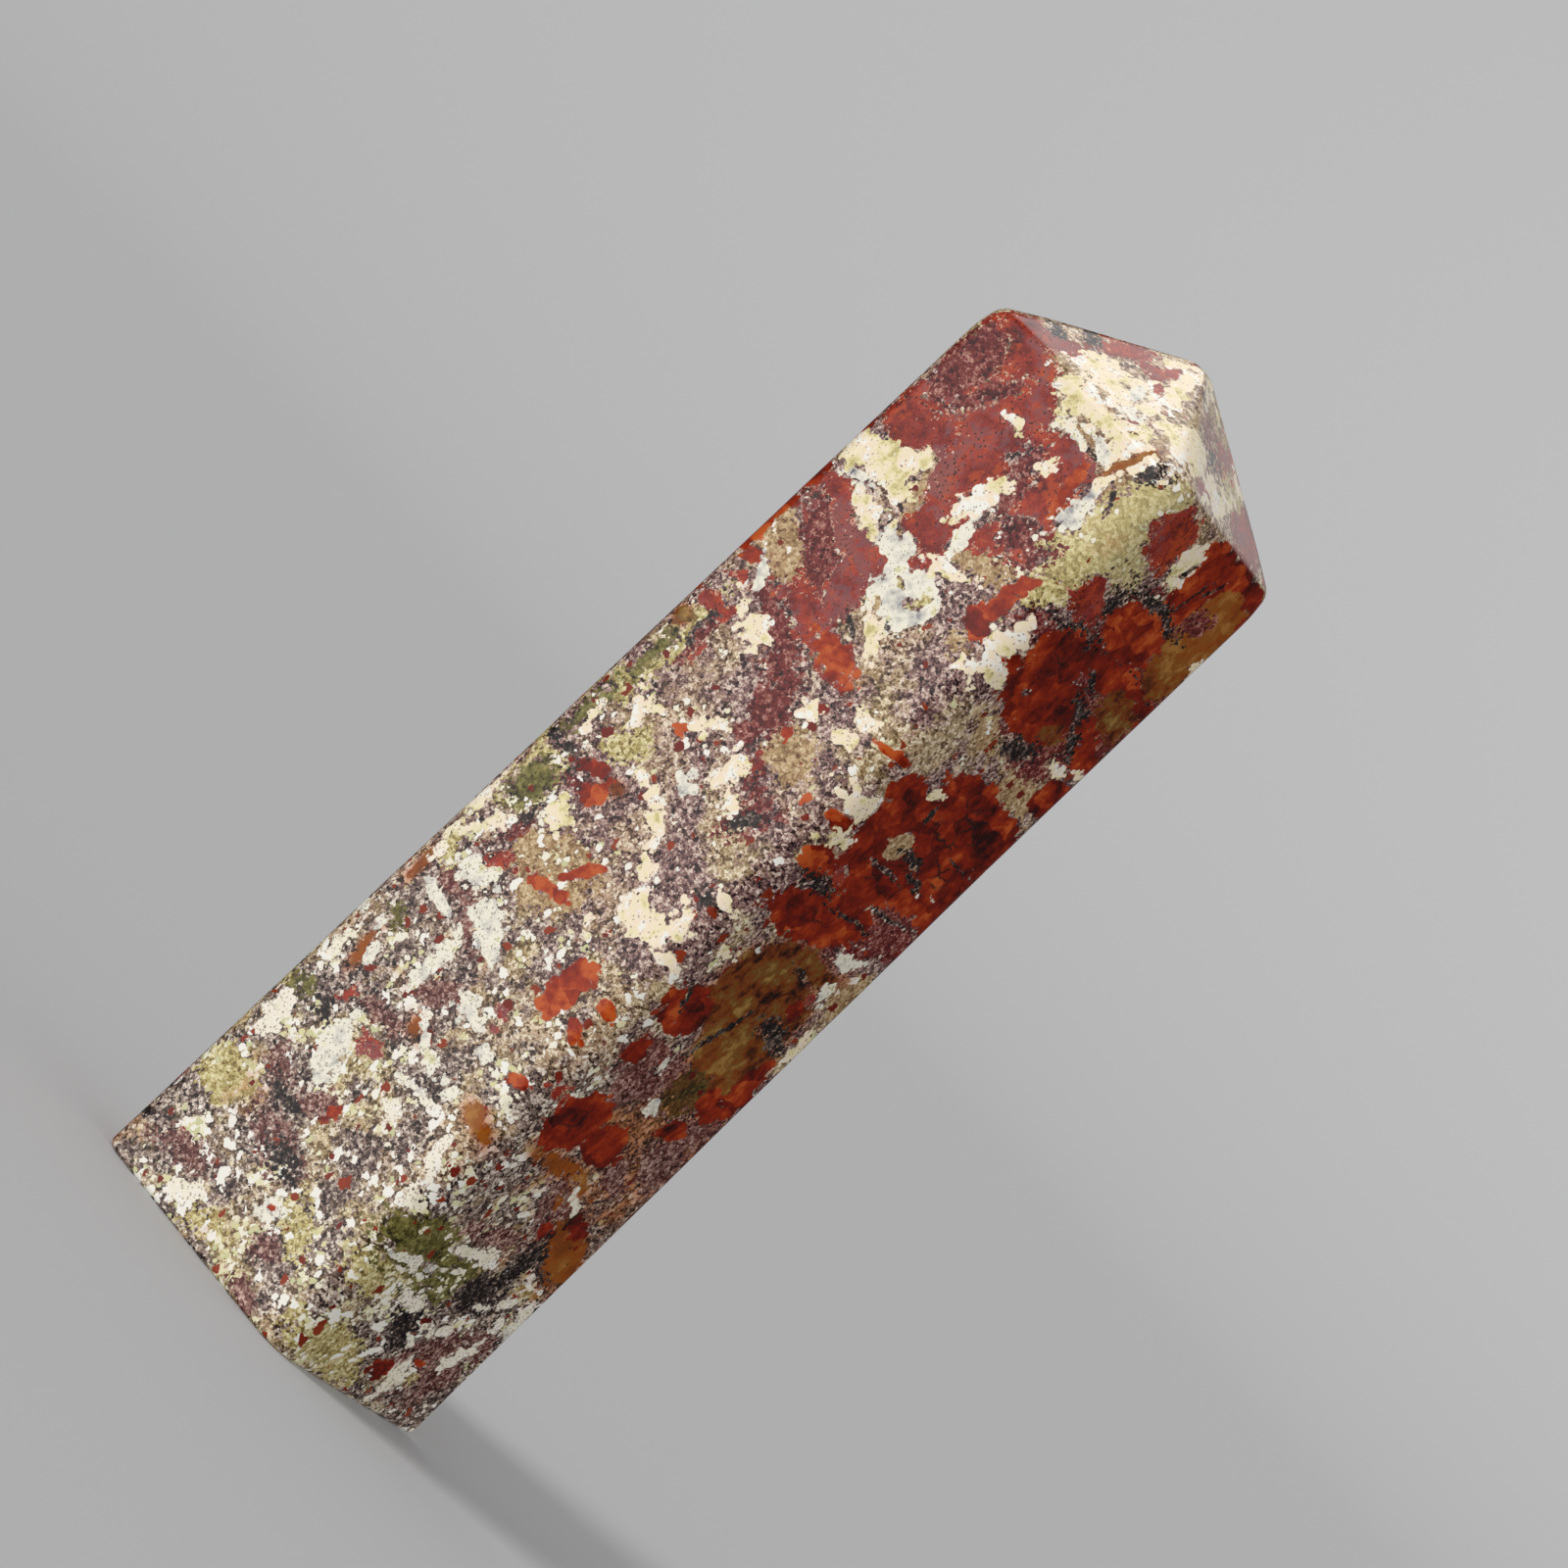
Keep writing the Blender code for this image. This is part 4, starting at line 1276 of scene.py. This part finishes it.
@dataclass(frozen=True)
class PolishedAgate:
    """Finish of the stone: the colours and texture of each mineral under a hand polish.

    A palette is a row of (value, display colour), and sizes are in millimetres.
    """

    grain_size: float = 0.3
    dust_size: float = 0.14
    lump_size: float = 0.5
    drop_size: float = 0.75
    flake_size: float = 0.7
    pebble_size: float = 0.85
    crack_size: float = 2.6
    cloud_size: float = 2.0
    wide_cloud_size: float = 4.5
    fine_cloud_size: float = 0.6
    drift_size: float = 1.7
    flake_squeeze: float = -0.62
    flake_way: tuple[float, float, float] = (-0.45, 0.79, 0.42)
    block_scale: tuple[float, float, float] = (1.0, 1.0, 1.7)
    # Where a share of place is 0 and where it is 1
    high_span: tuple[float, float] = (77.0, 86.0)
    low_span: tuple[float, float] = (44.0, 26.0)
    tip_span: tuple[float, float] = (86.0, 91.0)
    left_span: tuple[float, float] = (-9.0, -11.5)
    # How far pebbles, clouds and grains move an edge, and how far it is moved outward
    grainy_edge: tuple[float, float, float, float] = (0.5, 2.8, 1.0, 0.15)
    smooth_edge: tuple[float, float, float, float] = (0.9, 1.2, 0.1, 0.2)
    smoky_edge: tuple[float, float, float, float] = (0.6, 2.0, 0.9, 0.1)
    lobed_edge: tuple[float, float, float] = (1.1, 0.9, 0.25)
    polish_roughness: float = 0.1
    sand_roughness: float = 0.18
    refraction: float = 1.54
    relief: float = 0.004
    relief_strength: float = 0.5
    mauve: Palette = (
        (0.14, (34, 22, 24)), (0.34, (96, 66, 66)), (0.5, (134, 100, 96)), (0.68, (174, 140, 130)),
        (0.9, (232, 212, 196)),
    )
    ash: Palette = (
        (0.14, (28, 23, 20)), (0.34, (82, 70, 62)), (0.5, (124, 110, 98)), (0.68, (168, 154, 138)),
        (0.88, (238, 230, 214)),
    )
    beige: Palette = (
        (0.12, (66, 42, 32)), (0.3, (134, 102, 78)), (0.48, (178, 147, 118)),
        (0.7, (212, 184, 154)), (0.9, (246, 232, 210)),
    )
    tan: Palette = (
        (0.12, (104, 70, 44)), (0.4, (166, 132, 92)), (0.65, (198, 168, 124)),
        (0.92, (232, 212, 176)),
    )
    olive: Palette = (
        (0.12, (104, 78, 42)), (0.34, (164, 144, 84)), (0.56, (204, 188, 126)),
        (0.84, (240, 230, 188)),
    )
    moss: Palette = ((0.25, (42, 36, 16)), (0.5, (104, 97, 44)), (0.8, (162, 150, 92)))
    smoke: Palette = (
        (0.25, (10, 7, 7)), (0.5, (36, 27, 26)), (0.66, (72, 58, 54)), (0.82, (148, 128, 116)),
    )
    amber: Palette = (
        (0.2, (20, 8, 3)), (0.36, (78, 30, 8)), (0.5, (130, 62, 14)), (0.62, (116, 80, 30)),
        (0.8, (168, 128, 66)),
    )
    brick: Palette = (
        (0.16, (70, 24, 26)), (0.34, (124, 38, 32)), (0.5, (152, 52, 40)), (0.64, (174, 66, 44)),
        (0.8, (190, 84, 46)),
    )
    maroon: Palette = (
        (0.12, (38, 10, 12)), (0.35, (92, 28, 28)), (0.6, (126, 48, 44)), (0.92, (198, 146, 130)),
    )
    fire: Palette = (
        (0.16, (44, 6, 2)), (0.34, (100, 16, 2)), (0.52, (134, 30, 3)), (0.68, (164, 50, 8)),
        (0.84, (196, 88, 34)),
    )
    cream: Palette = (
        (0.12, (200, 184, 122)), (0.3, (240, 226, 172)), (0.46, (252, 238, 206)),
        (0.6, (252, 230, 202)), (0.74, (252, 250, 240)),
    )
    white: Palette = (
        (0.14, (150, 150, 154)), (0.3, (210, 206, 196)), (0.5, (244, 238, 220)),
        (0.66, (250, 244, 226)), (0.8, (226, 218, 172)),
    )
    lump: Palette = (
        (0.0, (250, 246, 236)), (0.45, (246, 238, 212)), (0.8, (226, 218, 166)),
        (1.0, (206, 206, 158)),
    )
    drop: Palette = ((0.0, (112, 26, 12)), (1.0, (150, 56, 22)))
    stain: Colour = (206, 128, 74)
    straw: Colour = (224, 208, 152)
    honey: Colour = (186, 98, 20)
    violet: Colour = (126, 84, 88)
    orange: Colour = (190, 74, 34)
    peach: Colour = (232, 190, 160)
    black: Colour = (26, 16, 16)
    # Dark brown of the painted shade round the lumps.
    seam: Colour = (58, 42, 36)

    def build(self) -> bpy.types.Material:
        """Make the material: sand at the bottom, and each mineral over it where it shows.

        Returns:
            The material, to go on the stone.
        """
        material = bpy.data.materials.new("polished_agate")
        material.use_nodes = True
        material.node_tree.nodes.clear()
        paint = AgatePaint(material.node_tree, self)
        paint.sand()
        paint.scattered()
        paint.rusted()
        amber = paint.amber()
        paint.maroon()
        brick, fire = paint.brick(), paint.fire()
        paint.smoke()
        paint.pales()

        hard = paint.math("MAXIMUM", paint.math("MAXIMUM", brick, fire), amber)
        rough_span = self.polish_roughness - self.sand_roughness
        bump = {"Strength": self.relief_strength, "Distance": self.relief * MM}
        bump["Height"] = paint.fine_cloud
        sockets = {
            "Base Color": paint.colour,
            "Roughness": paint.times(hard, rough_span, self.sand_roughness),
            "IOR": self.refraction,
            "Normal": paint.add("Bump", bump).outputs["Normal"],
        }
        surface = paint.add("BsdfPrincipled", sockets)
        paint.add("OutputMaterial", {"Surface": surface.outputs["BSDF"]})
        return material


def direction(azimuth: float, elevation: float) -> Vector:
    """Way out from the stone, in degrees: azimuth 0 is -Y, 90 is +X, and up is positive."""
    turn, rise = math.radians(azimuth), math.radians(elevation)
    level = math.cos(rise)
    return Vector((math.sin(turn) * level, -math.cos(turn) * level, math.sin(rise)))


@dataclass(frozen=True)
class PhotoCamera:
    """Camera that sees the tower as the photograph does.

    Azimuth 0 looks along +Y. Roll turns the camera, so that the upright tower lies aslant
    in the picture. The picture is 1600 pixels wide and high.
    """

    azimuth: float = 30.2
    elevation: float = 1.17
    roll: float = 46.41
    aim_height: float = 55.4
    picture_size: float = 1600.0
    focal_pixels: float = 5902.0
    pixels_per_mm: float = 13.45
    sensor_width: float = 36.0

    def build(self) -> bpy.types.Object:
        """Make the camera and give it to the scene."""
        azimuth, roll = math.radians(self.azimuth), math.radians(self.roll)
        back = direction(self.azimuth, self.elevation)
        side = Vector((math.cos(azimuth), math.sin(azimuth), 0.0))
        above = back.cross(side)
        right = side * math.cos(roll) + above * math.sin(roll)
        up = above * math.cos(roll) - side * math.sin(roll)
        distance = self.focal_pixels / self.pixels_per_mm
        place = (Vector((0.0, 0.0, self.aim_height)) + back * distance) * MM
        data = bpy.data.cameras.new("photo_camera")
        data.sensor_width = self.sensor_width
        data.lens = self.sensor_width * self.focal_pixels / self.picture_size
        data.clip_start, data.clip_end = 0.01, 50.0
        camera = link(bpy.data.objects.new("photo_camera", data))
        turn = Matrix((right, up, back)).transposed().to_4x4()
        camera.matrix_world = Matrix.Translation(place) @ turn
        bpy.context.scene.camera = camera
        return camera


@dataclass(frozen=True)
class SoftSun:
    """A far wide lamp that lights the stone and the floor evenly."""

    azimuth: float = -20.0
    elevation: float = 27.0
    strength: float = 1.5
    width: float = 16.0

    def build(self) -> bpy.types.Object:
        """Make the lamp."""
        data = bpy.data.lights.new("soft_sun", "SUN")
        data.energy = self.strength
        data.angle = math.radians(self.width)
        lamp = link(bpy.data.objects.new("soft_sun", data))
        out = direction(self.azimuth, self.elevation)
        lamp.location = out
        lamp.rotation_mode = "QUATERNION"
        lamp.rotation_quaternion = out.to_track_quat("Z", "Y")
        return lamp


@dataclass(frozen=True)
class Glow:
    """A large soft light source that only the polish mirrors, by its direction.

    It is full within the inner angle from its middle and fades out at the outer one.
    """

    azimuth: float
    elevation: float
    inner: float
    outer: float
    strength: float


@dataclass(frozen=True)
class Studio:
    """Pale seamless floor that curves up all round, soft lamps and dim surroundings."""

    floor_radius: float = 1.3
    sweep_radius: float = 0.9
    wall_height: float = 1.6
    floor_colour: Colour = (200, 200, 201)
    floor_roughness: float = 0.9
    floor_specular: float = 0.1
    surroundings: float = 0.52
    dim_mirror: float = 0.05
    columns: int = 96
    sweep_rings: int = 24
    sun: SoftSun = SoftSun()
    glows: tuple[Glow, ...] = (
        Glow(-32.0, 4.0, 12.0, 55.0, 0.75),
        Glow(190.0, 32.0, 4.0, 22.0, 0.6),
        Glow(-118.0, 60.0, 8.0, 28.0, 1.6),
        Glow(70.0, 40.0, 10.0, 45.0, 0.5),
    )

    def backdrop(self) -> bpy.types.Object:
        """Turn the sweep's profile round the axis: flat floor, quarter circle, upright wall."""
        turn = np.linspace(0, math.pi / 2, self.sweep_rings)
        top = self.sweep_radius + self.wall_height
        radius = np.concatenate(
            (
                [0.02, self.floor_radius / 2],
                self.floor_radius + self.sweep_radius * np.sin(turn),
                [self.floor_radius + self.sweep_radius],
            )
        )
        height = np.concatenate(([0.0, 0.0], self.sweep_radius * (1 - np.cos(turn)), [top]))
        around = np.linspace(0, 2 * math.pi, self.columns, endpoint=False)
        x, y = radius[:, None] * np.cos(around), radius[:, None] * np.sin(around)
        faces = ring_squares(len(radius), self.columns)[:, ::-1].tolist()
        faces.append(list(range(self.columns)))
        backdrop = smooth_object("backdrop", ring_points(x, y, height), faces)
        material = bpy.data.materials.new("backdrop_paper")
        material.use_nodes = True
        paper = material.node_tree.nodes["Principled BSDF"]
        paper.inputs["Base Color"].default_value = linear(self.floor_colour)
        paper.inputs["Roughness"].default_value = self.floor_roughness
        paper.inputs["Specular IOR Level"].default_value = self.floor_specular
        backdrop.data.materials.append(material)
        backdrop.visible_glossy = False
        backdrop.visible_diffuse = False
        backdrop.visible_shadow = False
        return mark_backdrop(backdrop)

    def mirrored(self, graph: Graph) -> Socket:
        """Strength that the polish mirrors from each direction: the sum of all glows.

        Args:
            graph: Nodes of the surroundings.

        Returns:
            The strength's socket.
        """
        way = graph.add("TexCoord").outputs["Generated"]
        total: Value = self.dim_mirror
        for glow in self.glows:
            middle = tuple(direction(glow.azimuth, glow.elevation))
            dot = graph.add("VectorMath", {0: way, 1: middle}, operation="DOT_PRODUCT")
            edge, full = (math.cos(math.radians(a)) for a in (glow.outer, glow.inner))
            share = graph.ease(dot.outputs["Value"], edge, full)
            total = graph.times(share, glow.strength, total)
        return total

    def build(self) -> None:
        """Set up the backdrop, the sun and the surroundings."""
        self.backdrop()
        self.sun.build()
        world = bpy.data.worlds.new("surroundings")
        world.use_nodes = True
        graph = Graph(world.node_tree)
        light = world.node_tree.nodes["Background"]
        in_mirror = graph.add("LightPath").outputs["Is Glossy Ray"]
        extra = graph.math("SUBTRACT", self.mirrored(graph), self.surroundings)
        strength = graph.times(in_mirror, extra, self.surroundings)
        graph.feed(light.inputs["Color"], (1.0, 1.0, 1.0, 1.0))
        graph.feed(light.inputs["Strength"], strength)
        world.cycles.sampling_method = "NONE"
        bpy.context.scene.world = world
        bpy.context.scene.view_settings.view_transform = "Standard"


@dataclass
class AgateTower:
    """The whole object: one polished stone, which stands in place of its plain CAD solid."""

    shape: TowerShape = field(default_factory=TowerShape)
    finish: PolishedAgate = field(default_factory=PolishedAgate)
    name: str = "polished_tower"
    node: str = "agate_tower"
    slot: str = "polished_agate"

    def build(self) -> bpy.types.Object:
        """Make the stone, paint its minerals, dress it and put it in its node's place."""
        tower, points = self.shape.build(self.name)
        Markings(self.shape).paint(tower, points)
        tower.data.materials.append(self.finish.build())
        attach(tower, "root")
        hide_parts(self.node)
        LOG.info("%s: %d points, %d faces", tower.name, len(points), len(tower.data.polygons))
        return tower


def main() -> None:
    """Build the stone, then the studio and the camera."""
    logging.basicConfig(level=logging.INFO)
    AgateTower().build()
    Studio().build()
    PhotoCamera().build()


if __name__ == "__main__":
    main()
